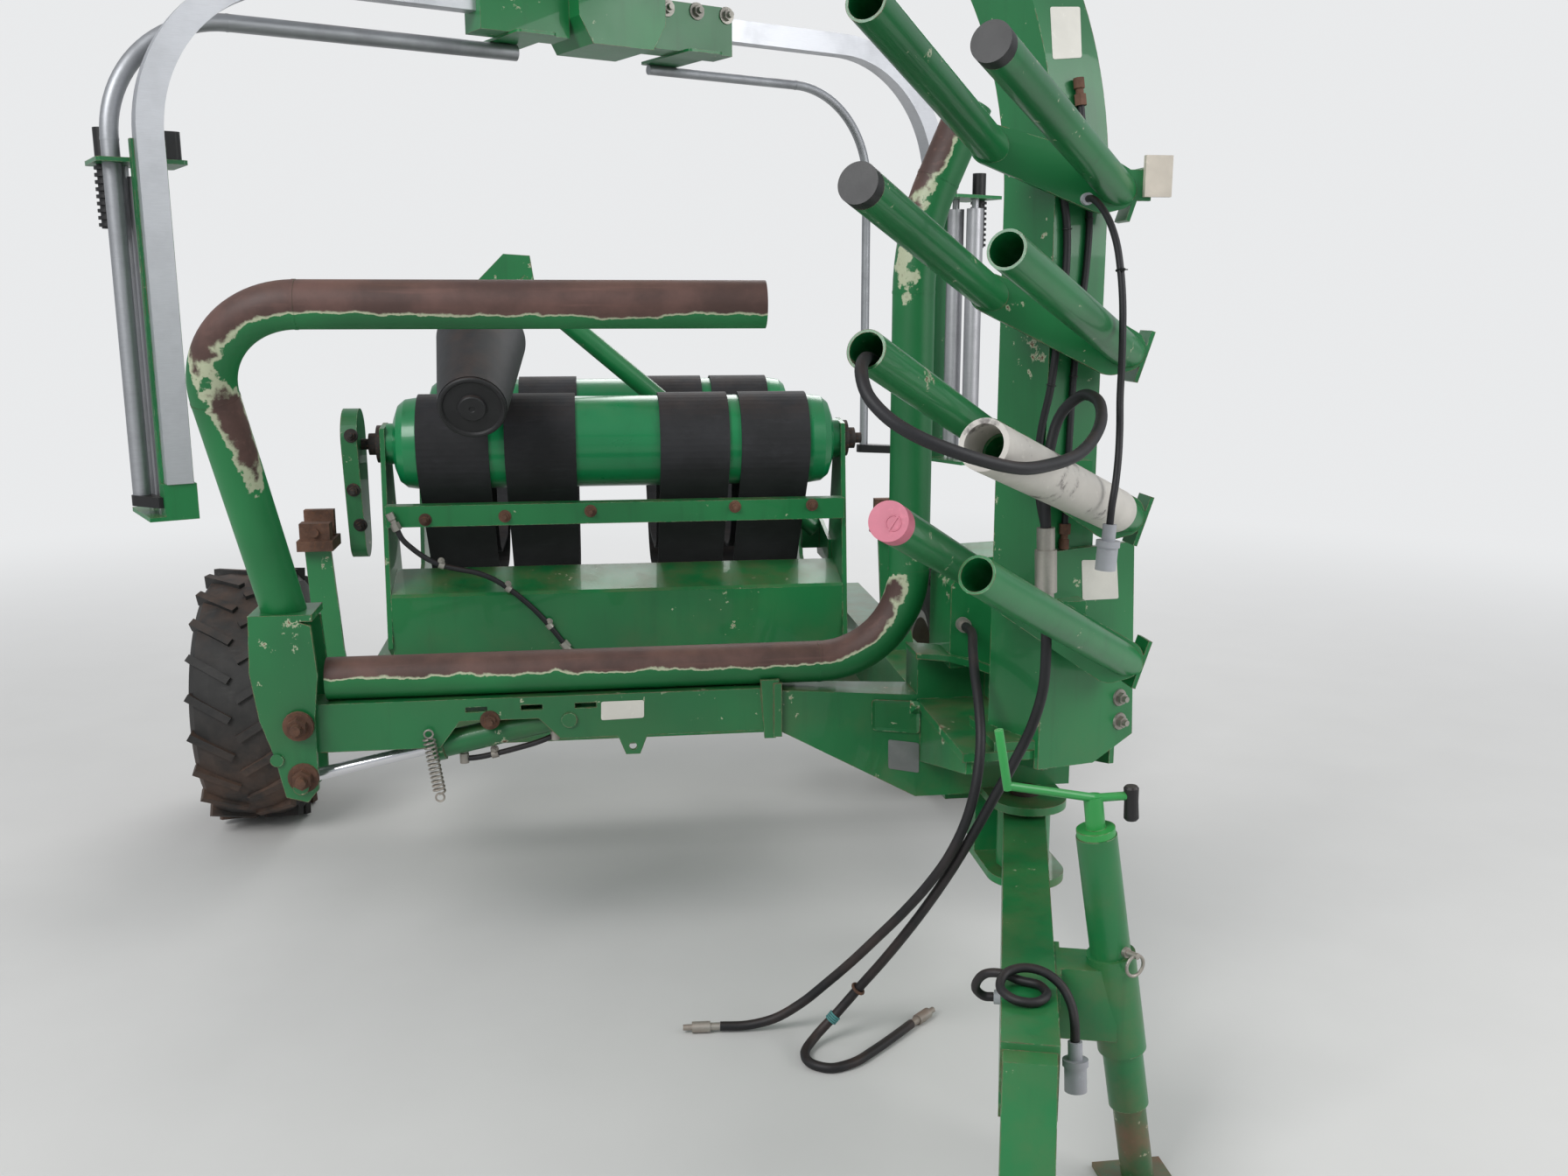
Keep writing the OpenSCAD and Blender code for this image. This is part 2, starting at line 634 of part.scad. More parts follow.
module drum(y) {
    color("mediumseagreen") translate([-drum_l / 2, y, drum_z]) rotate([0, 90, 0]) {
        rotate_extrude() polygon([
            [0, -21.7], [60, -21.7], [60, 0], [drum_d * 0.3, 2], [drum_d * 0.42, 14], [drum_d * 0.48, 34], [drum_d / 2, 70],
            [drum_d / 2, drum_l - 70], [drum_d * 0.48, drum_l - 34], [drum_d * 0.42, drum_l - 14],
            [drum_d * 0.3, drum_l - 2], [60, drum_l], [60, drum_l + 21.7], [0, drum_l + 21.7]]);
    }
}

module side_outline() {
    polygon([
        [-drum_y - 60, drum_z + 50], [-drum_y + 30, drum_z + 60], [-drum_y + 60, drum_z + 10],
        [-drum_y + 190, 790], [-200, 730], [200, 730], [drum_y - 190, 790],
        [drum_y - 60, drum_z + 10], [drum_y - 30, drum_z + 60], [drum_y + 60, drum_z + 50],
        [drum_y + 70, drum_z - 60], [drum_y + 125, 800], [table_pivot_y + 70, 640], [table_pivot_y + 30, 560],
        [table_pivot_y - 30, 560], [-300, 640], [-drum_y - 60, 660], [-drum_y - 130, 700], [-drum_y - 70, drum_z - 60]]);
}

// Two side plates joined by a cross bar at each end and a tube below, with a stub pin at each side.
module table_frame() {
    color(green) {
        for (s = [-1, 1]) {
            sideways(s > 0 ? table_in_x : -table_out_x, side_t) side_outline();
            translate([s * (table_in_x + 2), table_pivot_y, table_pivot_z]) rotate([0, s * 90, 0])
                cylinder(d = pin_d - 0.1, h = side_t + gap + 12);
        }
        for (y = [-drum_y - 130, drum_y + 80]) translate([-table_in_x - 1, y, 1060]) cube([2 * table_in_x + 2, 50, 62]);
        translate([-table_in_x - 1, lift_bar_y, lift_bar_z]) cube([2 * table_in_x + 2, 60, 60]);
        for (s = [-1, 1]) {
            sideways(s > 0 ? eye_gap : -eye_gap - plate_t, plate_t) hull() {
                translate([tip_to.y, tip_to.z]) circle(d = pin_d + 30);
                translate([lift_bar_y + 2, lift_bar_z + 2]) square(56);
            }
            translate([s * eye_gap, tip_to.y, tip_to.z]) rotate([0, s * 90, 0]) cylinder(d = pin_d, h = plate_t + 10);
        }
    }
}

module tray() {
    x_in = table_in_x - fit;
    color(green) sideways(-x_in, 2 * x_in) polygon([
        [-600, 660], [-600, 850], [-590, 858], [-430, 905], [-430, 897], [-584, 850], [-592, 842], [-592, 660]]);
}

module drum_bearings() {
    x_out = table_out_x + fit;
    color("dimgray") for (s = [-1, 1], y = [-drum_y, drum_y]) translate([s * x_out, y, drum_z])
        rotate([0, s * 90, 0]) {
            cylinder(d = 110, h = 14);
            cylinder(d = 64, h = 38);
            cylinder(d = 32, h = shaft_l);
        }
}

module chain_cover() {
    x_in = table_out_x + shaft_l + 2 * fit;
    color(green) sideways(-x_in - 46, 46) hull() {
        translate([-drum_y, drum_z + 20]) circle(d = 170);
        translate([-drum_y + 30, 1010]) circle(d = 120);
    }
}

// The cone roller's small end and big end, on one axis that leans up to the rear.
cone_small = [-392, -880, 1424];
cone_big = [-386, -530, 1588];
cone_bore = 40;

// Bar from the right side plate to a knee plate, from which the cone's shaft runs forward.
module end_roller_arm() {
    foot = [table_in_x - fit, -215, 945];
    knee = [-285, -215, 1760];
    shaft = along(cone_big, cone_small, -330);
    color(green) {
        bar_between(along(foot, knee, 30), knee, 62);
        sideways(foot.x - 12, 12) polygon([[-400, 880], [-190, 880], [-150, 960], [-190, 1010], [-400, 960]]);
        translate([foot.x - 70, -232, 905]) cube([59, 34, 84]);
        upright(-230, 30) polygon([[-425, 1640], [-340, 1600], [-235, 1735], [-250, 1840], [-330, 1845], [-415, 1760]]);
        bar_between(along(shaft, cone_small, 0), along(cone_small, cone_big, -8), cone_bore - 0.1);
        bar_between(along(cone_big, cone_small, -12), along(cone_big, cone_small, -4), 80);
    }
}

module cone_roller() {
    v = cone_big - cone_small;
    l = norm(v);
    color([0.12, 0.12, 0.12]) translate(cone_small) rotate([0, acos(v.z / l), atan2(v.y, v.x)]) difference() {
        cylinder(d1 = 185, d2 = 254, h = l);
        translate([0, 0, -1]) cylinder(d = cone_bore, h = l + 2);
    }
}

// Satellite

module satellite() { rotate([0, 0, sat_turn]) children(); }

module hub_box() {
    color(green) satellite() {
        upright(-130, 260) polygon([
            [-150, sat_top_z + hub_up], [-150, sat_top_z - 32], [-105, sat_top_z - hub_down],
            [105, sat_top_z - hub_down], [150, sat_top_z - 32], [150, sat_top_z + hub_up]]);
        for (s = [-1, 1]) translate([s > 0 ? 150 : -440, -60, sat_top_z - 90]) difference() {
            union() {
                upright(0, 120) polygon([
                    [0, 0], [290, 0], [290, s > 0 ? 120 : 150], [s > 0 ? 250 : 290, 150], [s > 0 ? 0 : 40, 150], [0, s > 0 ? 150 : 120]]);
                translate([90, -60, -8]) linear_extrude(8.5) rounded_rect(130, 330, 14);
            }
            translate([-1, 60 - sat_box_w / 2 - fit, 90 - sat_box_h / 2 - fit]) cube([292, sat_box_w + 2 * fit, sat_box_h + 2 * fit]);
        }
    }
}

module arch_arms() {
    first = 152;
    color("silver") satellite() for (s = [0, 180]) rotate([0, 0, s])
        translate([first, 0, sat_top_z]) rotate([0, 90, 0]) {
            translate([-sat_box_h / 2, -sat_box_w / 2, 0]) cube([sat_box_h, sat_box_w, sat_r - sat_bend - first]);
            translate([0, 0, sat_r - sat_bend - first]) {
                bend_section(sat_bend, 90) square([sat_box_h, sat_box_w], center = true);
                after_bend(sat_bend, 90) translate([-sat_box_h / 2, -sat_box_w / 2, 0])
                    cube([sat_box_h, sat_box_w, sat_top_z - sat_bend - sat_low_z]);
            }
        }
}

// Green channel behind each leg, a box that closes the leg's foot, and a plate above and below the rollers.
module dispenser_frames() {
    back = -sat_box_w / 2 - fit;
    color(green) satellite() for (s = [0, 180]) rotate([0, 0, s]) {
        translate([sat_r, 0, foot_z]) linear_extrude(roller_top_z + 60 - foot_z) polygon([
            [-leg_side - 9, back - 8], [leg_side + 9, back - 8], [leg_side + 9, back + 18], [leg_side, back + 18],
            [leg_side, back], [-leg_side, back], [-leg_side, back + 18], [-leg_side - 9, back + 18]]);
        translate([sat_r - leg_side - 9, back - 8, foot_z]) cube([2 * leg_side + 18, 62, sat_low_z - fit - foot_z]);
        translate([sat_r - leg_side - 9, -240, foot_z - 12]) cube([2 * leg_side + 60, 240 + back + 54, 12.5]);
        difference() {
            translate([sat_r - 105, -240, roller_top_z]) linear_extrude(12) rounded_rect(232, 240 + back - 7, 12);
            for (b = bars) if (b[0] == s && b[2] > sat_r)
                translate([b[2], b[1], roller_top_z - 1]) cylinder(d = b[4] + 2 * fit, h = 14);
        }
    }
}

// Each roller stands on a thinner shaft between the two plates.
module stretch_rollers() {
    color("silver") satellite() for (s = [0, 180], p = [[12, -110], [36, -190]]) rotate([0, 0, s])
        translate([sat_r + p.x, p.y, foot_z + 0.5 + fit]) {
            cylinder(d = 26, h = roller_top_z - foot_z - 0.5 - 2 * fit);
            translate([0, 0, 26]) cylinder(d = roller_d, h = roller_top_z - foot_z - 60);
        }
}

// Black plastic: cap of the drive, toothed film holder and the block at the foot of each guard bar.
module gear_covers() {
    teeth = 9;
    pitch = 19;
    color("black") satellite() {
        for (s = [0, 180]) rotate([0, 0, s]) {
            translate([sat_r - 95, -150, roller_top_z + 12 + fit]) linear_extrude(76) rounded_rect(84, 96, 16);
            translate([sat_r + 88, -150, roller_top_z - fit]) rotate([180, 0, 0]) {
                cylinder(d = 46, h = teeth * pitch);
                for (i = [0:teeth - 1]) translate([0, 0, i * pitch + 5]) cylinder(d = 60, h = 9);
            }
            translate([sat_r + 88, -150, roller_top_z + 12 + fit]) cylinder(d = 50, h = 84);
        }
        for (b = bars) rotate([0, 0, b[0]]) translate([0, 0, b[3] - 30]) linear_extrude(30 - fit) hull() {
            translate([b[2], b[1]]) circle(d = 56);
            translate([sat_r + (b[2] > sat_r ? 1 : -1) * (leg_side + 9 + fit + 6), (b[1] > 0 ? 1 : -1) * 12]) square([12, 40], center = true);
        }
    }
}

// Guard bars of the arch. Columns: which arm, side offset, reach, height of the lower end, diameter.
bars = [[0, 190, sat_r - 178, 1150, 32], [180, -94, sat_r + 81, 1163, 48]];

module safety_bars() {
    bend_r = 330;
    first = 260;
    color("gray") satellite() for (b = bars) {
        top_z = sat_top_z - 98 - b[4] / 2 - fit;
        rotate([0, 0, b[0]]) translate([first, b[1], top_z]) rotate([0, 90, 0])
            bar_straight(b[2] - bend_r - first, b[4])
            bar_bend(bend_r, 90, b[4])
            translate([0, 0, weld_gap]) cylinder(d = b[4], h = top_z - bend_r - b[3] - weld_gap);
    }
}

// Tipping cylinder below the table

module tip_place() {
    v = tip_to - tip_from;
    translate(tip_from) rotate([0, 0, 90]) rotate([0, -atan2(v.z, v.y), 0]) children();
}

module tip_barrel() {
    color(green) {
        tip_place() cylinder_barrel(380, 70, 40);
        translate([-45, tip_from.y, tip_from.z]) rotate([0, 90, 0]) cylinder(d = pin_d - 0.1, h = 90);
    }
}

module tip_rod() { color("silver") tip_place() cylinder_rod(150, tip_l, 40, 50); }

// Drawbar and jack

module bar_place() { translate([bar_pivot_x, -bar_pivot_y, 0]) rotate([0, 0, -bar_swing]) children(); }

module drawbar() {
    color(green) bar_place() {
        difference() {
            union() {
                translate([-bar_w / 2, -bar_l, bar_top_z - bar_h]) cube([bar_w, bar_l, bar_h]);
                translate([0, 0, bar_top_z - bar_h - 8]) cylinder(d = 130, h = bar_h + 16);
                sideways(-bar_w / 2 + 4, bar_w - 8) polygon([
                    [-bar_l + 40, bar_top_z - 6], [-bar_l - 30, bar_top_z - 20], [-bar_l - 120, 214], [-bar_l - 120, 168],
                    [-bar_l - 60, 168], [-bar_l + 30, bar_top_z - bar_h + 4]]);
            }
            translate([0, 0, bar_top_z - bar_h - 20]) cylinder(d = 50, h = bar_h + 40);
        }
    }
}

module hitch_eye() {
    y = -bar_l - 210;
    z = 190;
    color("dimgray") bar_place() difference() {
        union() {
            translate([0, y, z - 20]) cylinder(d = 110, h = 40);
            translate([-40, y, z - 20]) cube([80, 210 - 120 - fit, 40]);
        }
        translate([0, y, z - 30]) cylinder(r = hitch_r, h = 60);
    }
}

jack_top = [822, -2390, 735];
module jack_place() { translate(jack_top) rotate([0, 180 - jack_lean, 0]) children(); }

// Outer tube on a bracket that is bolted to the drawbar's side.
module jack_tube() {
    color(green) difference() {
        union() {
            jack_place() cylinder(d = jack_d, h = 560);
            jack_place() translate([0, 0, collar_l]) cylinder(d = jack_d + 16, h = 200);
            bar_place() {
                translate([bar_w / 2 + fit, -886, 335]) cube([10, 140, 142]);
                for (y = [-861, -781]) translate([bar_w / 2 + fit, y, 335]) cube([118, 10, 142]);
                translate([bar_w / 2 + fit, -861, 467]) cube([118, 90, 10]);
            }
        }
        jack_place() translate([0, 0, -1]) cylinder(d = jack_d - 12, h = 662);
    }
}

module jack_leg() {
    inner = jack_d - 12 - 1;
    floor_l = jack_top.z / cos(jack_lean);
    foot_x = jack_top.x + jack_top.z * tan(jack_lean);
    color(green) intersection() {
        union() {
            jack_place() translate([0, 0, 330]) cylinder(d = inner, h = floor_l + 30 - 330);
            translate([foot_x - 70, jack_top.y - 70, 0]) cube([140, 140, 10]);
        }
        translate([0, -3000, 0]) cube([2000, 2000, 2000]);
    }
}

module jack_crank() {
    hub = jack_top + [-2, 0, 14];
    color("limegreen") {
        jack_place() translate([0, 0, -14]) cylinder(d = jack_d - 4, h = 14 - fit);
        bar_between(hub, hub + [-8, 0, 62], 36);
        bar_between(hub + [-8, -4, 60], [634, -2440, 857], 16);
        bar_between([634, -2440, 850], [612, -2446, 963], 16);
    }
}

// A plate link at each side of the table carries a cutter that holds and cuts the film.
// Columns: corners of the link in X and Z, then the unit's middle.
module cut_hold_links() {
    left_x = -table_out_x - gap - rail_w - fit;
    right_z = chassis_z + fit;
    color(green) {
        upright(-600, 12) polygon([[left_x, 465], [left_x, 555], [left_x - 20, 700], [left_x - 40, 1000],
            [left_x - 113, 1000], [left_x - 100, 700], [left_x - 58, 465]]);
        upright(-600, 12) polygon([[800, right_z], [900, right_z], [880, 760], [860, 1000], [780, 1000], [792, 760]]);
    }
}

module cut_hold_units() {
    color("peru") for (x = [-table_out_x - gap - rail_w - fit - 77, 822]) translate([x - 50, -640, 1000 + fit]) {
        cube([100, 140, 30]);
        translate([8, 10, 29]) cube([84, 50, 50]);
        translate([8, 90, 29]) cube([84, 30, 78]);
        translate([50, 0, 54]) rotate([-90, 0, 0]) cylinder(d = 26, h = 150);
    }
}

// Cords

hose_d = 22;
cable_d = 14;

// Hydraulic hose out of a peg's mouth, slung in front of the film core and looped back over itself.
sling_route = [
    [450, -2333, 1563], [408, -2393, 1586], [365, -2455, 1610], [348, -2502, 1592], [352, -2540, 1555],
    [381, -2566, 1520], [426, -2582, 1492], [480, -2580, 1470], [541, -2562, 1450], [608, -2528, 1434],
    [678, -2472, 1432], [746, -2412, 1441], [803, -2342, 1466], [844, -2262, 1498], [861, -2182, 1522],
    [855, -2120, 1523], [832, -2085, 1491], [808, -2078, 1400], [803, -2083, 1330], [806, -2085, 1262]];

// It goes on below the coupler, down to the ground, where it folds back under the beam.
long_route = [
    [812, -2088, 1090], [815, -2089, 1010], [816, -2076, 925], [802, -2054, 840], [776, -2026, 755],
    [742, -2003, 670], [706, -1977, 580], [670, -1946, 490], [632, -1908, 400], [592, -1864, 310],
    [548, -1818, 220], [498, -1782, 136], [446, -1772, 68], [396, -1790, 26], [366, -1830, 12],
    [372, -1878, 12], [412, -1904, 12], [466, -1890, 12], [522, -1846, 12], [580, -1794, 13], [636, -1742, 15]];

// Second hose, out of a fitting on the pivot housing.
short_route = [
    [772, -1640, 958], [772, -1692, 957], [756, -1762, 932], [742, -1830, 900], [733, -1900, 848],
    [724, -1954, 780], [710, -1980, 700], [690, -1980, 615], [660, -1964, 532], [622, -1930, 450],
    [578, -1888, 370], [530, -1840, 290], [480, -1792, 210], [428, -1750, 138], [372, -1722, 76],
    [312, -1706, 34], [248, -1696, 16], [184, -1690, 15]];

// Control cable, from the upper web down to its plug.
control_route = [
    [905, -1975, 1900], [905, -1996, 1899], [910, -2024, 1886], [918, -2054, 1858], [926, -2080, 1815],
    [930, -2100, 1760], [931, -2116, 1700], [930, -2126, 1640], [928, -2134, 1580], [924, -2144, 1520],
    [920, -2160, 1462], [912, -2180, 1408], [902, -2196, 1355], [895, -2202, 1318], [893, -2202, 1285]];

// Lighting cable, which turns once on top of the drawbar and hangs over its right side.
bar_route = [
    [632, -2402, 430], [616, -2397, 430], [600, -2397, 444], [598, -2410, 470], [610, -2426, 491], [634, -2442, 497],
    [662, -2458, 490], [692, -2482, 490], [694, -2518, 490], [666, -2542, 490], [630, -2530, 492],
    [614, -2500, 499], [632, -2468, 510], [668, -2462, 516], [704, -2476, 511], [731, -2496, 490],
    [743, -2516, 460], [744, -2531, 430], [744, -2535, 405]];

// Where the drawbar's cable leaves its side, and the room between a cord's end and what it is fixed in.
bar_exit = [644, -2406, 430];
cord_gap = 0.5;

// Hose fittings. Columns: first end, last end, diameter.
couplers = [
    [[806, -2085, 1262], [812, -2088, 1090], 44], [[636, -1742, 15], [704, -1682, 15], 26],
    [[184, -1690, 15], [96, -1684, 15], 26], [[772, -1600, 958], [772, -1640, 958], 34]];

// A round tube swept along a route by rings that are carried from point to point without twist.
function along_route(p) = [for (i = [0:len(p) - 1]) let(
    v = p[min(i + 1, len(p) - 1)] - p[max(i - 1, 0)]) v / norm(v)];
function carried(t, start, i = 0, done = []) = i == len(t) ? done : let(
    n = i == 0 ? start : done[i - 1],
    m = n - (n * t[i]) * t[i]) carried(t, start, i + 1, concat(done, [m / norm(m)]));

module cord(p, d, start = [0.36, 0.48, 0.8]) {
    sides = 10;
    t = along_route(p);
    n = carried(t, start);
    last = len(p) - 1;
    ring = [for (i = [0:last], k = [0:sides - 1]) let(a = k * 360 / sides)
        p[i] + d / 2 * (cos(a) * n[i] + sin(a) * cross(t[i], n[i]))];
    polyhedron(ring, concat(
        [[for (k = [0:sides - 1]) sides - 1 - k]], [[for (k = [0:sides - 1]) last * sides + k]],
        [for (i = [0:last - 1], k = [0:sides - 1]) let(j = (k + 1) % sides)
            [i * sides + k, i * sides + j, (i + 1) * sides + j, (i + 1) * sides + k]]), convexity = 10);
}

module sling_hose() { color("black") cord(sling_route, hose_d); }
module control_cable() { color("black") cord(control_route, cable_d); }
module long_hose() { color("black") cord(long_route, hose_d); }
module short_hose() { color("black") cord(short_route, hose_d); }
module bar_cable() { color("black") cord(bar_route, cable_d + 3); }

// Each fitting steps out to its full diameter for the middle half of its length.
module hose_couplers() {
    color("silver") for (c = couplers) {
        a = along(c[0], c[1], cord_gap);
        b = along(c[1], c[0], cord_gap);
        l = norm(b - a);
        bar_between(a, along(a, b, l * 0.28), c[2] - 8);
        bar_between(along(a, b, l * 0.26), along(a, b, l * 0.76), c[2]);
        bar_between(along(a, b, l * 0.74), b, c[2] - 12);
    }
}

// A sleeve, a collar and the plug's barrel, from where the cable ends down to low.
module plug(top, low, d) {
    bar_between(along(top, low, cord_gap), along(top, low, 34), d - 14);
    bar_between(along(top, low, 32), along(top, low, 44), d + 6);
    bar_between(along(top, low, 42), low, d);
}

module control_plug() {
    color("gray") {
        plug(control_route[len(control_route) - 1], [888, -2202, 1196], 40);
        bar_between([905, -1961 - fit, 1900], control_route[0] + [0, cord_gap, 0], 24);
    }
}

module bar_plug() {
    color("gray") {
        plug(bar_route[len(bar_route) - 1], [744, -2549, 316], 40);
        bar_between(along(bar_exit, bar_route[0], fit), along(bar_route[0], bar_exit, cord_gap), 26);
    }
}

module rim_right() { wheel_place(-1) rotate([0, 0, 180]) rim(); }
module rim_left() { wheel_place(1) rim(); }
module tyre_right() { wheel_place(-1) tyre(); }
module tyre_left() { wheel_place(1) tyre(); }
module drum_front() { drum(-drum_y); }
module drum_rear() { drum(drum_y); }

machine() axle_beam();
machine() chassis_box();
machine() front_beam();
machine() guard_tube();
machine() pivot_housing();
machine() drawbar_pin();
machine() mast_column();
machine() mast_beam();
machine() peg_brackets();
machine() roll_pegs();
machine() peg_caps();
machine() pink_cap();
machine() film_core();
machine() reflector();
machine() rim_right();
machine() tyre_right();
machine() rim_left();
machine() tyre_left();
machine() table_frame();
machine() drum_front();
machine() drum_rear();
machine() belts();
machine() chain_cover();
machine() drum_bearings();
machine() tray();
machine() end_roller_arm();
machine() cone_roller();
machine() hub_box();
machine() arch_arms();
machine() dispenser_frames();
machine() stretch_rollers();
machine() gear_covers();
machine() safety_bars();
machine() load_lever();
machine() load_arm_tube();
machine() arm_barrel();
machine() arm_rod();
machine() tip_barrel();
machine() tip_rod();
machine() drawbar();
machine() hitch_eye();
machine() jack_tube();
machine() jack_crank();
machine() jack_leg();
machine() cut_hold_links();
machine() cut_hold_units();
machine() sling_hose();
machine() long_hose();
machine() short_hose();
machine() hose_couplers();
machine() control_cable();
machine() control_plug();
machine() bar_cable();
machine() bar_plug();
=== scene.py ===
# Trailed bale wrapper with a turning arch: finishes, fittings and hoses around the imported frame.
import math

import bmesh
import bpy
from mathutils import Euler, Matrix, Vector
from mathutils.bvhtree import BVHTree


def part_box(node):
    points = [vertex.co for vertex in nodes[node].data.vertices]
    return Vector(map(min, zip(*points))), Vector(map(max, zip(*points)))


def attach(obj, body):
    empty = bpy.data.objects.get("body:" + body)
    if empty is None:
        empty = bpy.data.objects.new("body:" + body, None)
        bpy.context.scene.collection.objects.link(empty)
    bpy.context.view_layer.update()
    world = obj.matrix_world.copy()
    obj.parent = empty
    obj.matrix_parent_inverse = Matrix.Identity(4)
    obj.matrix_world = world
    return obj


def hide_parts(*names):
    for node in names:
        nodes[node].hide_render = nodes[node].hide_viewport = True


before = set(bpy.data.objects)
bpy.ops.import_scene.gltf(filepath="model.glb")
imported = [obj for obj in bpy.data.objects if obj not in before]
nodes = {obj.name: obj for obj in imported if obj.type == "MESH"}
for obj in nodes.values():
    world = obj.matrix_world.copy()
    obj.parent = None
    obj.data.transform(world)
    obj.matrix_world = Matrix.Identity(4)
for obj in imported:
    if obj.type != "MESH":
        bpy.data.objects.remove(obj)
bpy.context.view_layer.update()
print("stage: frame loaded,", len(nodes), "nodes")

# camera first
view = {"at": (-0.09, -3.64, 1.70), "tilt": 78.45, "turn": -8.0, "lens": 32.14}
picture = {"wide": 1792, "high": 1344, "sensor": 36}


def makeCamera():
    data = bpy.data.cameras.new("camera")
    data.lens = view["lens"]
    data.sensor_width = picture["sensor"]
    data.clip_end = 200
    camera = bpy.data.objects.new("camera", data)
    camera.location = view["at"]
    camera.rotation_euler = (math.radians(view["tilt"]), 0, math.radians(view["turn"]))
    bpy.context.scene.collection.objects.link(camera)
    bpy.context.scene.camera = camera


makeCamera()


# shader maths as plain expressions
class Wire:
    def __init__(self, finish, socket):
        self.finish, self.socket = finish, socket

    def __add__(self, other):
        return self.finish.maths("ADD", self, other)

    __radd__ = __add__

    def __sub__(self, other):
        return self.finish.maths("SUBTRACT", self, other)

    def __rsub__(self, other):
        return self.finish.maths("SUBTRACT", other, self)

    def __mul__(self, other):
        return self.finish.maths("MULTIPLY", self, other)

    __rmul__ = __mul__


class Finish:
    def __init__(self, name):
        self.material = bpy.data.materials.new(name)
        self.material.use_nodes = True
        self.tree = self.material.node_tree
        self.tree.nodes.clear()
        self.place = self.node("ShaderNodeTexCoord", out="Object")

    def node(self, kind, settings=None, inputs=None, out=0):
        made = self.tree.nodes.new(kind)
        for key, value in (settings or {}).items():
            setattr(made, key, value)
        for key, value in (inputs or {}).items():
            self.feed(made.inputs[key], value)
        return Wire(self, made.outputs[out])

    def feed(self, socket, value):
        if isinstance(value, Wire):
            self.tree.links.new(value.socket, socket)
        else:
            socket.default_value = value

    def maths(self, operation, *values):
        return self.node("ShaderNodeMath", {"operation": operation}, dict(enumerate(values)))

    def noise(self, scale, detail=4.0, roughness=0.55, place=None):
        return self.node(
            "ShaderNodeTexNoise",
            inputs={"Vector": place or self.place, "Scale": scale, "Detail": detail, "Roughness": roughness},
        )

    def stretched(self, scale):
        return self.node("ShaderNodeMapping", inputs={"Vector": self.place, "Scale": scale})

    def step(self, value, low, high):
        return self.node(
            "ShaderNodeMapRange",
            {"interpolation_type": "SMOOTHSTEP"},
            {"Value": value, "From Min": low, "From Max": high, "To Min": 0.0, "To Max": 1.0},
        )

    def mix(self, factor, a, b):
        return self.node("ShaderNodeMix", {"data_type": "RGBA"}, {0: factor, 6: solid(a), 7: solid(b)}, out=2)

    def axisOf(self, axis):
        return self.node("ShaderNodeSeparateXYZ", inputs={"Vector": self.place}, out=axis)

    def facing(self, direction):
        # 1 where the surface faces that way
        normal = self.node("ShaderNodeNewGeometry", out="Normal")
        return self.node(
            "ShaderNodeVectorMath", {"operation": "DOT_PRODUCT"}, {0: normal, 1: direction}, out="Value"
        )

    def edges(self, radius):
        # about 0 on open faces, higher along edges
        rounded = self.node("ShaderNodeBevel", {"samples": 6}, {"Radius": radius})
        normal = self.node("ShaderNodeNewGeometry", out="Normal")
        return 1 - self.node(
            "ShaderNodeVectorMath", {"operation": "DOT_PRODUCT"}, {0: rounded, 1: normal}, out="Value"
        )

    def bump(self, height, distance, strength=1.0):
        return self.node(
            "ShaderNodeBump", inputs={"Height": height, "Distance": distance, "Strength": strength}
        )

    def done(self, **sockets):
        shader = self.tree.nodes.new("ShaderNodeBsdfPrincipled")
        for key, value in sockets.items():
            name = {"colour": "Base Color", "coat": "Coat Weight", "coatRoughness": "Coat Roughness"}.get(
                key, key.capitalize()
            )
            self.feed(shader.inputs[name], solid(value) if key == "colour" else value)
        out = self.tree.nodes.new("ShaderNodeOutputMaterial")
        self.tree.links.new(shader.outputs[0], out.inputs[0])
        return self.material


def solid(colour):
    return colour if isinstance(colour, Wire) or len(colour) == 4 else (*colour, 1.0)


def shade(colour, amount):
    return tuple(min(1.0, c * amount) for c in colour)


earth = (0.21, 0.105, 0.062)  # red-brown yard dust
rustDark = (0.075, 0.033, 0.020)
rustPale = (0.20, 0.085, 0.040)
primer = (0.50, 0.52, 0.36)


def addDust(f, colour, amount, low=0.05, high=1.0):
    # dust lies on what faces up, and splashes thin out with height
    height = f.axisOf("Z")
    splash = (1 - f.step(height, low, high)) * f.step(f.noise(6, 5, 0.6), 0.38, 0.72)
    lying = f.step(f.facing((0, 0, 1)), 0.35, 0.95) * f.step(f.noise(11, 5, 0.62), 0.30, 0.75)
    mask = f.node(
        "ShaderNodeMath",
        {"operation": "MULTIPLY_ADD", "use_clamp": True},
        {0: lying, 1: 0.75 * amount, 2: splash * amount},
    )
    return f.mix(mask, colour, earth), mask


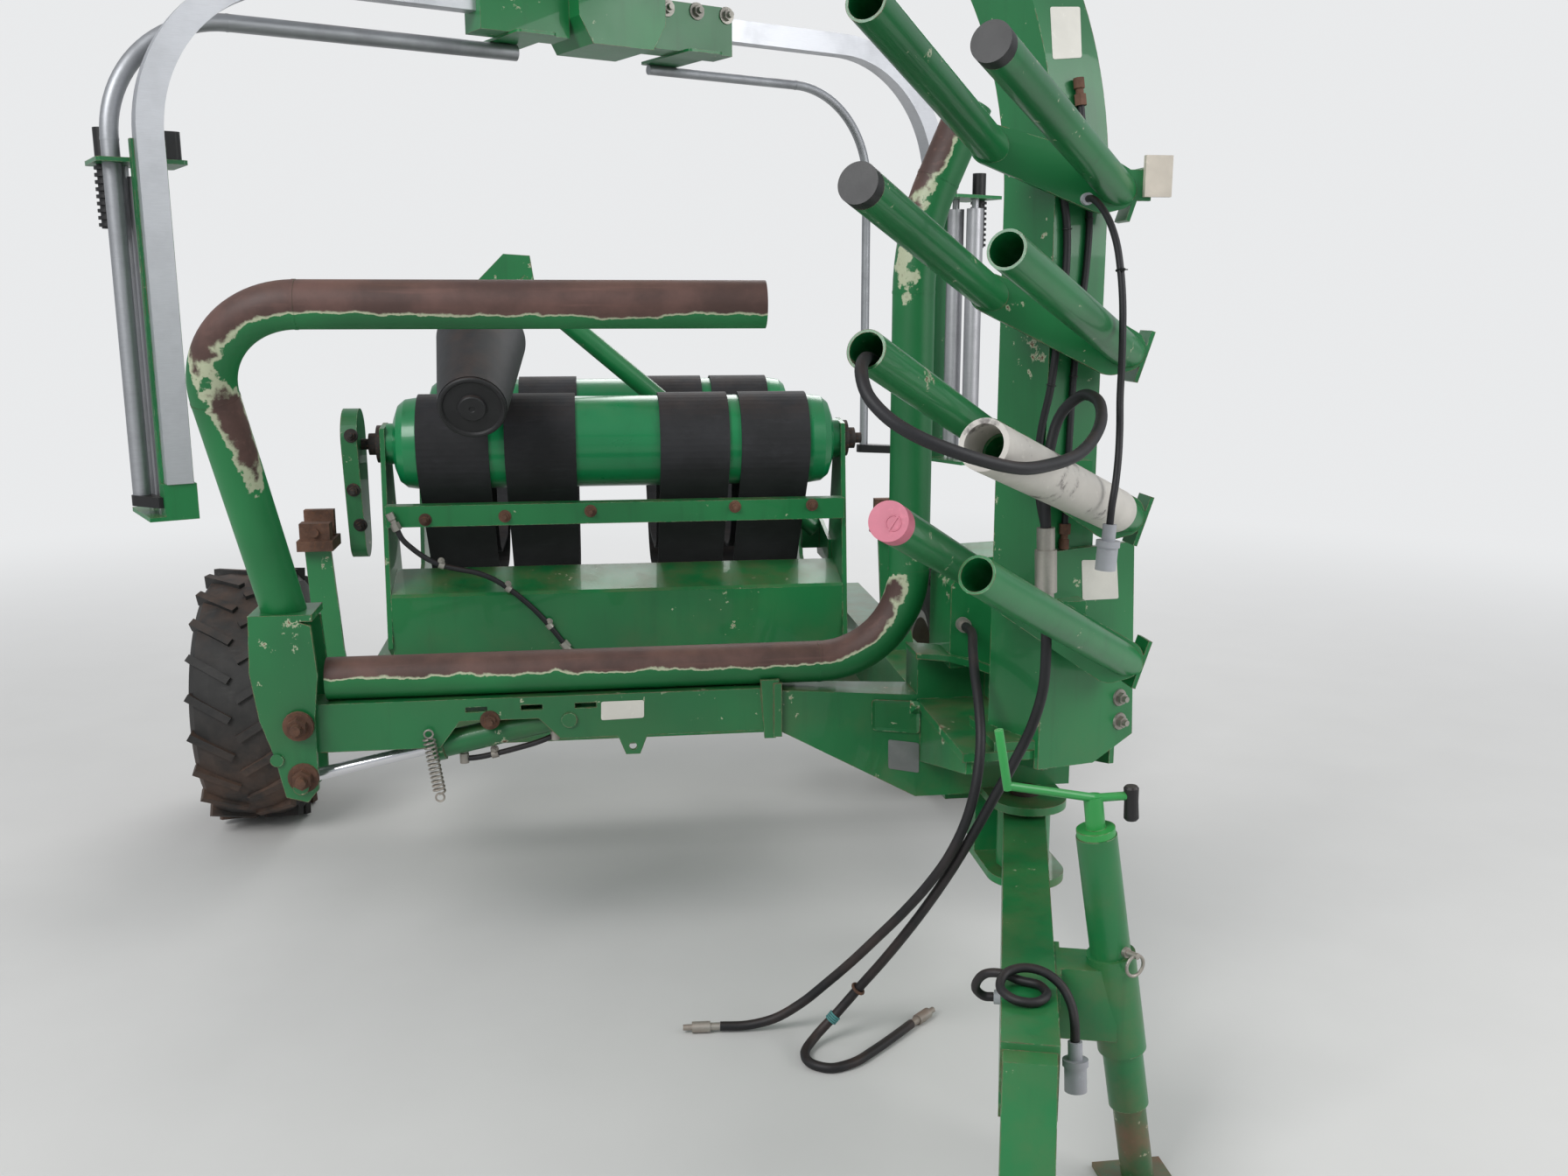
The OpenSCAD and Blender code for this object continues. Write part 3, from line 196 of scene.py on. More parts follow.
def paintFinish(name, base, chips=0.5, wear=1.0, dust=0.45, gloss=0.32, edgeSize=0.006):
    f = Finish(name)
    broad = f.noise(1.7, 3, 0.5)
    colour = f.mix(f.step(broad, 0.32, 0.68), shade(base, 0.78), shade(base, 1.22))
    streak = f.step(f.noise(1, 5, 0.6, f.stretched((26, 26, 2.2))), 0.52, 0.78)
    colour = f.mix(streak * 0.35, colour, shade(base, 0.55))
    edge = f.step(f.edges(edgeSize), 0.02, 0.35)
    spots = f.noise(31, 7, 0.66) * 0.62 + f.noise(5.5, 4, 0.55) * 0.38 + edge * (0.16 * wear)
    limit = 0.70 - 0.10 * chips
    rim = f.step(spots, limit - 0.028, limit - 0.012)
    bare = f.step(spots, limit, limit + 0.018)
    rust = f.mix(f.step(f.noise(70, 5, 0.6), 0.35, 0.7), rustDark, rustPale)
    colour = f.mix(rim * 0.75, colour, primer)
    colour = f.mix(bare, colour, rust)
    colour, mask = addDust(f, colour, dust)
    grain = f.noise(240, 3, 0.5)
    height = grain * 0.25 + f.noise(18, 3, 0.5) * 0.9 - bare * 0.9
    rough = gloss + 0.16 * f.noise(9, 4, 0.6) + bare * 0.4 + mask * 0.35
    return f.done(
        colour=colour, roughness=rough, normal=f.bump(height, 0.0006, 0.55), coat=0.25 - 0.25 * bare
    )


def tubeFinish(name, base, worn, towards, reach, low, high):
    # rubbed to brown on the side that faces the bales, and more so higher up
    f = Finish(name)
    face = f.facing(towards)
    raised = f.step(f.axisOf("Z"), low, high)
    patch = f.noise(5, 4, 0.55) * 0.34 + f.noise(30, 5, 0.6) * 0.16 + face * 0.42 + raised * 0.22
    rubbed = f.step(patch, reach, reach + 0.035)
    ring = f.step(patch, reach - 0.022, reach - 0.010)
    brown = f.mix(f.step(f.noise(7, 5, 0.6), 0.35, 0.7), shade(worn, 0.72), shade(worn, 1.45))
    scratch = f.step(f.noise(1, 4, 0.6, f.stretched((3, 60, 60))), 0.55, 0.8)
    brown = f.mix(scratch * 0.5, brown, shade(worn, 2.0))
    colour = f.mix(f.step(f.noise(2, 3), 0.35, 0.7), shade(base, 0.8), shade(base, 1.25))
    colour = f.mix(ring * 0.85, colour, primer)
    colour = f.mix(rubbed, colour, brown)
    colour, mask = addDust(f, colour, 0.3)
    height = f.noise(120, 4, 0.6) * 0.5 + f.noise(20, 3) - ring * 0.4
    return f.done(
        colour=colour,
        roughness=0.34 + rubbed * 0.14 + 0.2 * f.noise(14, 4),
        normal=f.bump(height, 0.0006, 0.6),
    )


def metalFinish(name, base, rough=0.34, brush=(4, 4, 90), dust=0.25, tarnish=0.5):
    f = Finish(name)
    lines = f.noise(8, 5, 0.65, f.stretched(brush))
    blotch = f.step(f.noise(5, 5, 0.6), 0.42, 0.72)
    colour = f.mix(lines, shade(base, 0.82), shade(base, 1.12))
    colour = f.mix(blotch * tarnish, colour, shade(base, 0.55))
    colour, mask = addDust(f, colour, dust)
    return f.done(
        colour=colour,
        metallic=0.85 - mask * 0.8,
        roughness=rough + lines * 0.14 + blotch * 0.12 + mask * 0.3,
        normal=f.bump(lines, 0.0003, 0.4),
    )


def rustFinish(name, base, scale=1.0, dust=0.4):
    f = Finish(name)
    big = f.noise(9 * scale, 6, 0.65)
    fine = f.noise(85 * scale, 6, 0.7)
    colour = f.mix(f.step(big, 0.36, 0.66), shade(base, 0.6), shade(base, 1.5))
    colour = f.mix(f.step(fine, 0.5, 0.75) * 0.7, colour, rustPale)
    colour, mask = addDust(f, colour, dust)
    return f.done(
        colour=colour,
        metallic=0.25 - 0.25 * mask,
        roughness=0.62 + fine * 0.3,
        normal=f.bump(fine, 0.0012, 0.8),
    )


def rubberFinish(name, base, rough=0.62, dust=0.4, weave=0.0, high=0.9):
    f = Finish(name)
    colour = f.mix(f.step(f.noise(6, 5, 0.6), 0.35, 0.7), shade(base, 0.75), shade(base, 1.5))
    scuff = f.step(f.noise(1, 6, 0.65, f.stretched((9, 70, 14))), 0.56, 0.74)
    colour = f.mix(scuff * 0.35, colour, shade(base, 3.2))
    colour, mask = addDust(f, colour, dust, high=high)
    grain = f.noise(300, 4, 0.6)
    if weave:
        across = f.maths("SINE", f.axisOf("X") * (math.tau / weave))
        along = f.maths("SINE", f.axisOf("Z") * (math.tau / weave))
        grain = grain * 0.5 + across * along * 0.5
    return f.done(
        colour=colour,
        roughness=rough + 0.2 * mask + 0.1 * f.noise(30, 3),
        normal=f.bump(grain, 0.0005, 0.6),
    )


def plasticFinish(name, base, rough=0.42, dust=0.35, mottle=0.25, stain=None):
    f = Finish(name)
    patches = f.step(f.noise(4, 5, 0.6), 0.35, 0.7)
    colour = f.mix(patches, shade(base, 1 - mottle), shade(base, 1 + mottle * 0.6))
    if stain:
        smear = f.step(f.noise(7, 6, 0.7), 0.58, 0.66)
        colour = f.mix(smear * 0.85, colour, stain)
    scratch = f.step(f.noise(1, 5, 0.6, f.stretched((60, 9, 60))), 0.6, 0.78)
    colour = f.mix(scratch * 0.3, colour, shade(base, 1.6))
    colour, mask = addDust(f, colour, dust)
    return f.done(
        colour=colour,
        roughness=rough + 0.25 * mask + 0.1 * f.noise(20, 3),
        normal=f.bump(f.noise(160, 3), 0.0003, 0.4),
    )


greenPaint = (0.006, 0.150, 0.040)
armWorn = (0.085, 0.042, 0.034)
finishes = {
    "paint": paintFinish("worn_green_paint", greenPaint, chips=0.5),
    "paintChipped": paintFinish("chipped_green_paint", greenPaint, chips=0.55, wear=1.2, dust=0.22),
    "drumPaint": paintFinish(
        "polished_drum_paint", (0.004, 0.19, 0.060), chips=0.12, wear=0.3, dust=0.15, gloss=0.22
    ),
    "limePaint": paintFinish("bright_green_crank_paint", (0.02, 0.30, 0.06), chips=0.4, dust=0.2),
    "armTube": tubeFinish("rubbed_arm_paint", greenPaint, armWorn, (0.25, -0.62, 0.74), 0.58, 1.1, 1.5),
    "railTube": tubeFinish("rubbed_rail_paint", greenPaint, armWorn, (-0.12, -0.22, 0.97), 0.62, -1.0, -0.5),
    "rim": paintFinish("dusty_rim_paint", (0.30, 0.28, 0.24), chips=0.3, dust=0.8),
    "tyre": rubberFinish("dusty_tyre_rubber", (0.022, 0.021, 0.020), dust=0.42, high=0.55),
    "belt": rubberFinish("worn_belt_rubber", (0.012, 0.012, 0.014), rough=0.7, dust=0.12, weave=0.0035),
    "rubber": rubberFinish("black_roller_rubber", (0.010, 0.010, 0.011), rough=0.5, dust=0.2),
    "hose": rubberFinish("black_hose_rubber", (0.006, 0.006, 0.008), rough=0.5, dust=0.15),
    "arch": metalFinish("brushed_arch_alloy", (0.62, 0.63, 0.66), rough=0.36, tarnish=0.25),
    "roller": metalFinish("ribbed_roller_alloy", (0.50, 0.50, 0.52), rough=0.36),
    "bar": metalFinish("galvanised_bar", (0.40, 0.41, 0.43), rough=0.42, brush=(5, 5, 30)),
    "chrome": metalFinish("chromed_rod", (0.75, 0.75, 0.78), rough=0.12, dust=0.2, tarnish=0.15),
    "zinc": metalFinish(
        "zinc_bolt", (0.42, 0.40, 0.36), rough=0.40, brush=(30, 30, 30), dust=0.5, tarnish=0.8
    ),
    "greasy": rustFinish("greasy_cast_iron", (0.030, 0.026, 0.024), 1.3, 0.3),
    "rusty": rustFinish("rust_brown_steel", (0.110, 0.055, 0.035)),
    "blackPlastic": plasticFinish("black_moulded_plastic", (0.008, 0.008, 0.009), dust=0.12),
    "greyPlastic": plasticFinish(
        "pale_grey_plug_plastic", (0.40, 0.41, 0.44), rough=0.45, dust=0.2, mottle=0.2
    ),
    "rustedLeg": paintFinish("rusted_leg_paint", shade(greenPaint, 0.7), chips=1.25, wear=1.2, dust=0.9),
    "pinkPlastic": plasticFinish("faded_pink_plastic", (0.60, 0.16, 0.23), mottle=0.18, dust=0.25),
    "whitePlastic": plasticFinish(
        "dusty_white_plastic", (0.60, 0.57, 0.52), dust=0.3, mottle=0.15, stain=(0.10, 0.085, 0.08)
    ),
    "paleLens": plasticFinish("pale_reflector_plastic", (0.62, 0.56, 0.48), rough=0.3),
    "label": plasticFinish("blank_label", (0.66, 0.64, 0.58), dust=0.3, mottle=0.1),
    "plate": metalFinish("blank_data_plate", (0.30, 0.31, 0.31), rough=0.4, brush=(3, 3, 3)),
    "twine": plasticFinish("teal_baling_twine", (0.05, 0.30, 0.30), rough=0.6, dust=0.3),
}
# what each CAD node wears, and worn green paint where it isn't named
wearing = {
    "arch_arms": "arch", "arm_rod": "chrome", "bar_plug": "greyPlastic", "belts": "belt",
    "cone_roller": "rubber", "control_plug": "greyPlastic", "cut_hold_units": "rusty",
    "drawbar": "paintChipped", "drawbar_pin": "greasy", "drum_bearings": "greasy",
    "drum_front": "drumPaint", "drum_rear": "drumPaint", "film_core": "whitePlastic",
    "front_beam": "paintChipped", "gear_covers": "blackPlastic", "guard_tube": "railTube",
    "hitch_eye": "greasy", "hose_couplers": "zinc", "jack_crank": "limePaint", "jack_leg": "rustedLeg",
    "load_arm_tube": "armTube", "load_lever": "paintChipped", "peg_caps": "blackPlastic",
    "pink_cap": "pinkPlastic", "reflector": "paleLens", "rim_left": "rim", "rim_right": "rim",
    "safety_bars": "bar", "stretch_rollers": "roller", "tip_rod": "chrome", "tyre_left": "tyre",
    "tyre_right": "tyre",
}


def dressNodes():
    for name, node in nodes.items():
        finish = finishes[wearing.get(name, "paint")]
        node.data.materials.clear()
        node.data.materials.append(finish)
        for poly in node.data.polygons:
            poly.material_index = 0


dressNodes()
print("stage: finishes on", len(nodes), "nodes")


# making pieces
def newPiece(name, bm, finish, body):
    mesh = bpy.data.meshes.new(name)
    bmesh.ops.recalc_face_normals(bm, faces=bm.faces)
    bm.to_mesh(mesh)
    bm.free()
    piece = bpy.data.objects.new(name, mesh)
    bpy.context.scene.collection.objects.link(piece)
    mesh.materials.append(finishes[finish])
    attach(piece, body)
    return piece


def aimed(at, direction):
    # a placement whose own Z runs along direction
    turn = Vector(direction).normalized().to_track_quat("Z", "Y")
    return Matrix.Translation(Vector(at)) @ turn.to_matrix().to_4x4()


def addTurned(bm, at, direction, outline, steps=24):
    # outline is (radius, height) pairs, spun about the direction through at
    before = set(bm.verts)
    verts = [bm.verts.new((r, 0, z)) for r, z in outline]
    edges = [bm.edges.new(pair) for pair in zip(verts, verts[1:])]
    bmesh.ops.spin(
        bm, geom=verts + edges, cent=(0, 0, 0), axis=(0, 0, 1), angle=math.tau, steps=steps, use_merge=True
    )
    bmesh.ops.remove_doubles(bm, verts=[v for v in bm.verts if v not in before], dist=1e-6)
    bmesh.ops.transform(bm, matrix=aimed(at, direction), verts=[v for v in bm.verts if v not in before])


def addHex(bm, at, direction, size, height):
    # size is the widest way across the corners
    bmesh.ops.create_cone(
        bm, cap_ends=True, segments=6, radius1=size / 2, radius2=size / 2, depth=height,
        matrix=aimed(at, direction) @ Matrix.Translation((0, 0, height / 2)),
    )


# in widths of the head: radii at the foot and the top, and heights
boltShape = {
    "washer": (0.78, 0.74), "washerHigh": 0.14, "headHigh": 0.42,
    "stud": (0.30, 0.26), "studHigh": 0.5, "studMiddle": 0.55,
}


def addBolt(bm, at, direction, size):
    rise = Vector(direction).normalized() * size
    washerHigh, studHigh = boltShape["washerHigh"], boltShape["studHigh"]
    bmesh.ops.create_cone(
        bm, cap_ends=True, segments=18, radius1=size * boltShape["washer"][0],
        radius2=size * boltShape["washer"][1], depth=size * washerHigh,
        matrix=aimed(Vector(at) + rise * washerHigh / 2, direction),
    )
    seat = Vector(at) + rise * washerHigh
    addHex(bm, seat, direction, size, size * boltShape["headHigh"])
    bmesh.ops.create_cone(
        bm, cap_ends=True, segments=12, radius1=size * boltShape["stud"][0],
        radius2=size * boltShape["stud"][1], depth=size * studHigh,
        matrix=aimed(seat + rise * boltShape["studMiddle"], direction),
    )


def addBlock(bm, low, high, place):
    # a box between two corners, in a placement of its own
    size = Vector(high) - Vector(low)
    mid = (Vector(high) + Vector(low)) / 2
    matrix = place @ Matrix.Translation(mid) @ Matrix.Diagonal((*size, 1))
    bmesh.ops.create_cube(bm, size=1, matrix=matrix)


# hoses and cables: routes in millimetres from the wrapping axis, as chosen for the frame
axisY = 1090  # the wrapping axis lies this far behind the frame's origin
cords = {
    "sling_hose": {
        "route": [
            (450, -2333, 1563), (408, -2393, 1586), (365, -2455, 1610), (348, -2502, 1592),
            (352, -2540, 1555), (381, -2566, 1520), (426, -2582, 1492), (480, -2580, 1470),
            (541, -2562, 1450), (608, -2528, 1434), (678, -2472, 1432), (746, -2412, 1441),
            (803, -2342, 1466), (844, -2262, 1498), (861, -2182, 1522), (855, -2120, 1523),
            (832, -2085, 1491), (808, -2078, 1400), (803, -2083, 1330), (806, -2085, 1262),
        ],
        "wide": 22, "body": "chassis", "end": "connector", "stiffness": "limp", "lay": "hanging",
    },
    "long_hose": {
        "route": [
            (812, -2088, 1090), (815, -2089, 1010), (816, -2076, 925), (802, -2054, 840), (776, -2026, 755),
            (742, -2003, 670), (706, -1977, 580), (670, -1946, 490), (632, -1908, 400), (592, -1864, 310),
            (548, -1818, 220), (498, -1782, 136), (446, -1772, 68), (396, -1790, 26), (366, -1830, 12),
            (372, -1878, 12), (412, -1904, 12), (466, -1890, 12), (522, -1846, 12), (580, -1794, 13),
            (636, -1742, 15),
        ],
        "wide": 22, "body": "chassis", "end": "connector", "stiffness": "limp", "lay": "hanging",
    },
    "short_hose": {
        "route": [
            (772, -1640, 958), (772, -1692, 957), (756, -1762, 932), (742, -1830, 900), (733, -1900, 848),
            (724, -1954, 780), (710, -1980, 700), (690, -1980, 615), (660, -1964, 532), (622, -1930, 450),
            (578, -1888, 370), (530, -1840, 290), (480, -1792, 210), (428, -1750, 138), (372, -1722, 76),
            (312, -1706, 34), (248, -1696, 16), (184, -1690, 15),
        ],
        "wide": 22, "body": "chassis", "end": "connector", "stiffness": "medium", "lay": "hanging",
    },
    "control_cable": {
        "route": [
            (905, -1975, 1900), (905, -1996, 1899), (910, -2024, 1886), (918, -2054, 1858),
            (926, -2080, 1815), (930, -2100, 1760), (931, -2116, 1700), (930, -2126, 1640),
            (928, -2134, 1580), (924, -2144, 1520), (920, -2160, 1462), (912, -2180, 1408),
            (902, -2196, 1355), (895, -2202, 1318), (893, -2202, 1285),
        ],
        "wide": 14, "body": "chassis", "end": "plug", "stiffness": "medium", "lay": "hanging",
    },
    "bar_cable": {
        "route": [
            (632, -2402, 430), (616, -2397, 430), (600, -2397, 444), (598, -2410, 470), (610, -2426, 491),
            (634, -2442, 497), (662, -2458, 490), (692, -2482, 490), (694, -2518, 490), (666, -2542, 490),
            (630, -2530, 492), (614, -2500, 499), (632, -2468, 510), (668, -2462, 516), (704, -2476, 511),
            (731, -2496, 490), (743, -2516, 460), (744, -2531, 430), (744, -2535, 405),
        ],
        "wide": 17, "body": "drawbar", "end": "plug", "stiffness": "limp", "lay": "loose",
    },
}


def placed(point):
    # from millimetres about the wrapping axis to the frame's metres
    return Vector((point[0], point[1] + axisY, point[2])) / 1000


def smoothRoute(points, parts=5):
    # passes through every point, and bends evenly where the points are unevenly spaced
    steps = [(b - a).length for a, b in zip(points, points[1:])]
    lean = [(points[1] - points[0]).normalized()]
    for i in range(1, len(points) - 1):
        back, ahead = (points[i] - points[i - 1]) / steps[i - 1], (points[i + 1] - points[i]) / steps[i]
        lean.append((back * steps[i] + ahead * steps[i - 1]) / (steps[i] + steps[i - 1]))
    lean.append((points[-1] - points[-2]).normalized())
    out = []
    for i, step in enumerate(steps):
        for t in (k / parts for k in range(parts)):
            start, end = points[i] * (1 + 2 * t) * (1 - t) ** 2, points[i + 1] * t * t * (3 - 2 * t)
            out.append(start + end + step * (lean[i] * t * (1 - t) ** 2 - lean[i + 1] * t * t * (1 - t)))
    return out + [points[-1]]


def layHose(name, line, wide, body):
    # a round rubber line of that width in millimetres
    data = bpy.data.curves.new(name, "CURVE")
    data.dimensions = "3D"
    data.bevel_depth = wide / 2000
    data.bevel_resolution = 4
    data.use_fill_caps = True
    spline = data.splines.new("POLY")
    spline.points.add(len(line) - 1)
    for point, at in zip(spline.points, line):
        point.co = (*at, 1)
    piece = bpy.data.objects.new(name, data)
    bpy.context.scene.collection.objects.link(piece)
    data.materials.append(finishes["hose"])
    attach(piece, body)
    return piece


def makeCord(name, cord):
    line = smoothRoute([placed(p) for p in cord["route"]])
    piece = layHose(name + "_rubber", line, cord["wide"], cord["body"])
    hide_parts(name)
    length = sum((b - a).length for a, b in zip(line, line[1:]))


for name, cord in cords.items():
    makeCord(name, cord)
print("stage: hoses and cables", len(cords))


# where small things sit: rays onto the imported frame
surfaces = {}


def hitFrom(node, start, direction):
    if node not in surfaces:
        mesh = nodes[node].data
        corners = [v.co for v in mesh.vertices]
        surfaces[node] = BVHTree.FromPolygons(corners, [p.vertices for p in mesh.polygons])
    heading = Vector(direction).normalized()
    at, normal = surfaces[node].ray_cast(Vector(start), heading)[:2]
    if at is None:
        print("no surface of", node, "from", [round(c, 3) for c in start])
        return None
    return at, normal if normal.dot(heading) < 0 else -normal


def hitPixel(node, pixel):
    # the camera's ray through a pixel of the photograph
    scale = picture["sensor"] / picture["wide"]
    across, down = (pixel[0] - picture["wide"] / 2) * scale, (pixel[1] - picture["high"] / 2) * scale
    turn = Euler((math.radians(view["tilt"]), 0, math.radians(view["turn"]))).to_matrix()
    return hitFrom(node, view["at"], turn @ Vector((across, -down, -view["lens"])))


def ringOutline(radius, wire, steps=8):
    # a round wire's section, to be spun into a ring of that radius
    return [
        (radius + wire * math.cos(math.tau * k / steps), wire * math.sin(math.tau * k / steps))
        for k in range(steps + 1)
    ]


# bolts and nuts, at the pixels where the photograph shows them
boltRows = {
    "crossbar_bolts": {
        "on": "table_frame", "body": "table", "finish": "rusty", "slot": "rusty_steel", "size": 0.024,
        "at": [(486, 594), (577, 590), (675, 584), (840, 579), (928, 577)],
    },
    "hub_bolts": {
        "on": "hub_box", "body": "satellite", "finish": "zinc", "slot": "zinc_steel", "size": 0.036,
        "at": [(762, 9), (796, 13), (830, 18)],
    },
    "mast_bolts": {
        "on": "mast_column", "body": "chassis", "finish": "zinc", "slot": "zinc_steel", "size": 0.026,
        "at": [(1279, 797), (1279, 824)],
    },
    "beam_bolts": {
        "on": "front_beam", "body": "chassis", "finish": "rusty", "slot": "rusty_steel", "size": 0.030,
        "at": [(648, 824), (560, 823)],
    },
    "lever_bolts": {
        "on": "load_lever", "body": "load_arm", "finish": "rusty", "slot": "rusty_steel", "size": 0.046,
        "at": [(341, 830), (347, 889)],
    },
    "cover_bolts": {
        "on": "chain_cover", "body": "table", "finish": "greasy", "slot": "dark_steel", "size": 0.026,
        "at": [(401, 498), (404, 560), (412, 600)],
    },
}


def makeBoltRow(name, row):
    bm = bmesh.new()
    for spot in filter(None, (hitPixel(row["on"], pixel) for pixel in row["at"])):
        addBolt(bm, spot[0], spot[1], row["size"])
    newPiece(name, bm, row["finish"], row["body"])


for name, row in boltRows.items():
    makeBoltRow(name, row)

wheelNuts = {"count": 6, "circle": 0.1025, "size": 0.030, "from": 0.4}


def makeWheelNuts(side, outward):
    low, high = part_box("rim_" + side)
    middle = (Vector(low) + Vector(high)) / 2
    bm = bmesh.new()
    for k in range(wheelNuts["count"]):
        turn = math.tau * (k + 0.5) / wheelNuts["count"]
        around = Vector((0, math.cos(turn), math.sin(turn))) * wheelNuts["circle"]
        start = middle + around + Vector((outward * wheelNuts["from"], 0, 0))
        spot = hitFrom("rim_" + side, start, (-outward, 0, 0))
        if spot:
            addBolt(bm, spot[0], spot[1], wheelNuts["size"])
    newPiece("wheel_nuts_" + side, bm, "greasy", "wheel_" + side)


makeWheelNuts("left", -1)
makeWheelNuts("right", 1)
print("stage: bolts and nuts")

# blank labels and plates: corners by pixel, clockwise
plates = {
    "upper_mast_label": {
        "on": "mast_column", "body": "chassis", "finish": "label", "slot": "white_plastic", "thick": 0.0008,
        "corners": [(1200, 8), (1234, 8), (1236, 66), (1203, 68)],
    },
    "lower_mast_label": {
        "on": "mast_column", "body": "chassis", "finish": "label", "slot": "white_plastic", "thick": 0.0008,
        "corners": [(1236, 640), (1276, 640), (1278, 684), (1237, 686)],
    },
    "beam_label": {
        "on": "front_beam", "body": "chassis", "finish": "label", "slot": "white_plastic", "thick": 0.0008,
        "corners": [(687, 802), (736, 800), (736, 820), (687, 823)],
    },
    "data_plate": {
        "on": "pivot_housing", "body": "chassis", "finish": "plate", "slot": "zinc_steel", "thick": 0.0015,
        "corners": [(1015, 845), (1050, 849), (1050, 883), (1015, 878)],
    },
    "pressed_panel": {
        "on": "pivot_housing", "body": "chassis", "finish": "paint", "slot": "green_paint", "thick": 0.004,
        "corners": [(996, 799), (1051, 801), (1051, 838), (996, 834)], "inset": 0.008, "round": 0.010,
    },
}


plateLift = 0.0002  # clear of the paint below


def makePlate(name, plate):
    # a grid is laid on the surface through the four pixels, then thickened outwards
    bm = bmesh.new()
    bmesh.ops.create_grid(bm, x_segments=5, y_segments=5, size=0.5)
    a, b, c, d = (Vector(corner) for corner in plate["corners"])
    facings = []
    for v in bm.verts:
        across, down = v.co.x + 0.5, 0.5 - v.co.y
        spot = hitPixel(plate["on"], (a.lerp(b, across)).lerp(d.lerp(c, across), down))
        if not spot:
            print("left out:", name)
            return
        v.co = spot[0] + spot[1] * plateLift
        facings.append(spot[1])
    outward = sum(facings, Vector()).normalized()
    corners = [v for v in bm.verts if len(v.link_edges) == 2]
    bmesh.ops.bevel(
        bm, geom=corners, offset=plate.get("round", 0.005), offset_type="OFFSET", segments=3, profile=0.5,
        affect="VERTICES", material=-1,
    )
    made = bmesh.ops.extrude_face_region(bm, geom=list(bm.faces))
    raised = [g for g in made["geom"] if isinstance(g, bmesh.types.BMVert)]
    bmesh.ops.translate(bm, vec=outward * plate["thick"], verts=raised)
    if "inset" in plate:
        bmesh.ops.recalc_face_normals(bm, faces=bm.faces)
        top = [g for g in made["geom"] if isinstance(g, bmesh.types.BMFace)]
        bmesh.ops.inset_region(bm, faces=top, thickness=plate["inset"], depth=-0.6 * plate["thick"])
    newPiece(name, bm, plate["finish"], plate["body"])


for name, plate in plates.items():
    makePlate(name, plate)
print("stage: blank labels and plates")

# lines that clips hold all the way
heldHoses = {
    "table_line": {
        "route": [
            (-640, -624, 1058), (-628, -624, 1030), (-600, -624, 1000), (-562, -622, 970),
            (-520, -620, 948), (-470, -618, 934), (-420, -616, 922), (-375, -613, 902), (-332, -611, 872),
            (-292, -610, 838), (-254, -609, 800), (-216, -609, 755), (-176, -609, 700),
        ],
        "wide": 16, "body": "table", "clips": (4, 8, 11),
    },
    "cylinder_line": {
        "route": [
            (-402, -1450, 628), (-370, -1450, 630), (-330, -1450, 637), (-280, -1450, 648),
            (-230, -1450, 661), (-186, -1450, 677),
        ],
        "wide": 14, "body": "arm_barrel", "clips": (2,), "ports": 0.040,
    },
}


def addUnion(bm, end, inner, wide):
    # a hexagon and a collar on a line's end, running on from it
    r = wide / 2000
    outward = (end - inner).normalized()
    addHex(bm, end - outward * 0.004, outward, wide / 1000 + 0.012, 0.022)
    addTurned(
        bm, end + outward * 0.016, outward,
        [(0, 0), (r + 0.001, 0), (r + 0.001, 0.012), (r + 0.004, 0.014), (r + 0.004, 0.034), (0, 0.034)], 20,
    )


clip = {"long": 0.016, "thick": 0.003, "bite": 0.001, "bolt": 0.013}


def makeHeldHose(name, hose):
    points = [placed(p) for p in hose["route"]]
    layHose(name, smoothRoute(points), hose["wide"], hose["body"])
    bm = bmesh.new()
    if "ports" in hose:
        high = hose["ports"]
        outline = [(0, 0), (0.011, 0), (0.011, 0.024), (0.008, 0.026), (0.008, high), (0, high)]
        for end in (points[0], points[-1]):
            addTurned(bm, end - Vector((0, 0, 0.010)), (0, 0, 1), outline, 16)
    else:
        addUnion(bm, points[0], points[1], hose["wide"])
        addUnion(bm, points[-1], points[-2], hose["wide"])
    r = hose["wide"] / 2000
    inner, outer, long = r - clip["bite"], r + clip["thick"], clip["long"]
    for k in hose["clips"]:
        ahead = points[k + 1] - points[k - 1]
        band = [(inner, 0), (outer, 0), (outer, long), (inner, long), (inner, 0)]
        addTurned(bm, points[k] - ahead.normalized() * long / 2, ahead, band)
        addBolt(bm, points[k] + Vector((0, -0.004, r + 0.006)), (0, -1, 0), clip["bolt"])
    newPiece(name + "_clips", bm, "zinc", hose["body"])


for name, hose in heldHoses.items():
    makeHeldHose(name, hose)
print("stage: held lines and their clips")

# lines that ties hold on the mast's face, from one union to the other
mastLines = {
    "mast_line_left": {
        "wide": 16, "ties": (2, 5), "over": [
            (1206, 150), (1210, 205), (1216, 262), (1214, 320), (1206, 380), (1198, 440), (1192, 500),
            (1190, 560), (1192, 610),
        ],
    },
    "mast_line_right": {
        "wide": 14, "ties": (2, 5), "over": [
            (1232, 120), (1238, 190), (1242, 250), (1238, 310), (1230, 370), (1224, 430), (1220, 490),
            (1217, 545), (1214, 600),
        ],
    },
}


def makeMastLine(name, hose):
    r = hose["wide"] / 2000
    spots = [hitPixel("mast_column", pixel) for pixel in hose["over"]]
    points = [at + normal * (r + 0.0005) for at, normal in filter(None, spots)]
    layHose(name, smoothRoute(points), hose["wide"], "chassis")
    bm = bmesh.new()
    addUnion(bm, points[0], points[1], hose["wide"])
    addUnion(bm, points[-1], points[-2], hose["wide"])
    newPiece(name + "_unions", bm, "rusty", "chassis")
    bm = bmesh.new()
    for k in hose["ties"]:
        addTurned(bm, points[k], points[k + 1] - points[k - 1], ringOutline(r + 0.0008, 0.0016), 18)
    newPiece(name + "_ties", bm, "blackPlastic", "chassis")


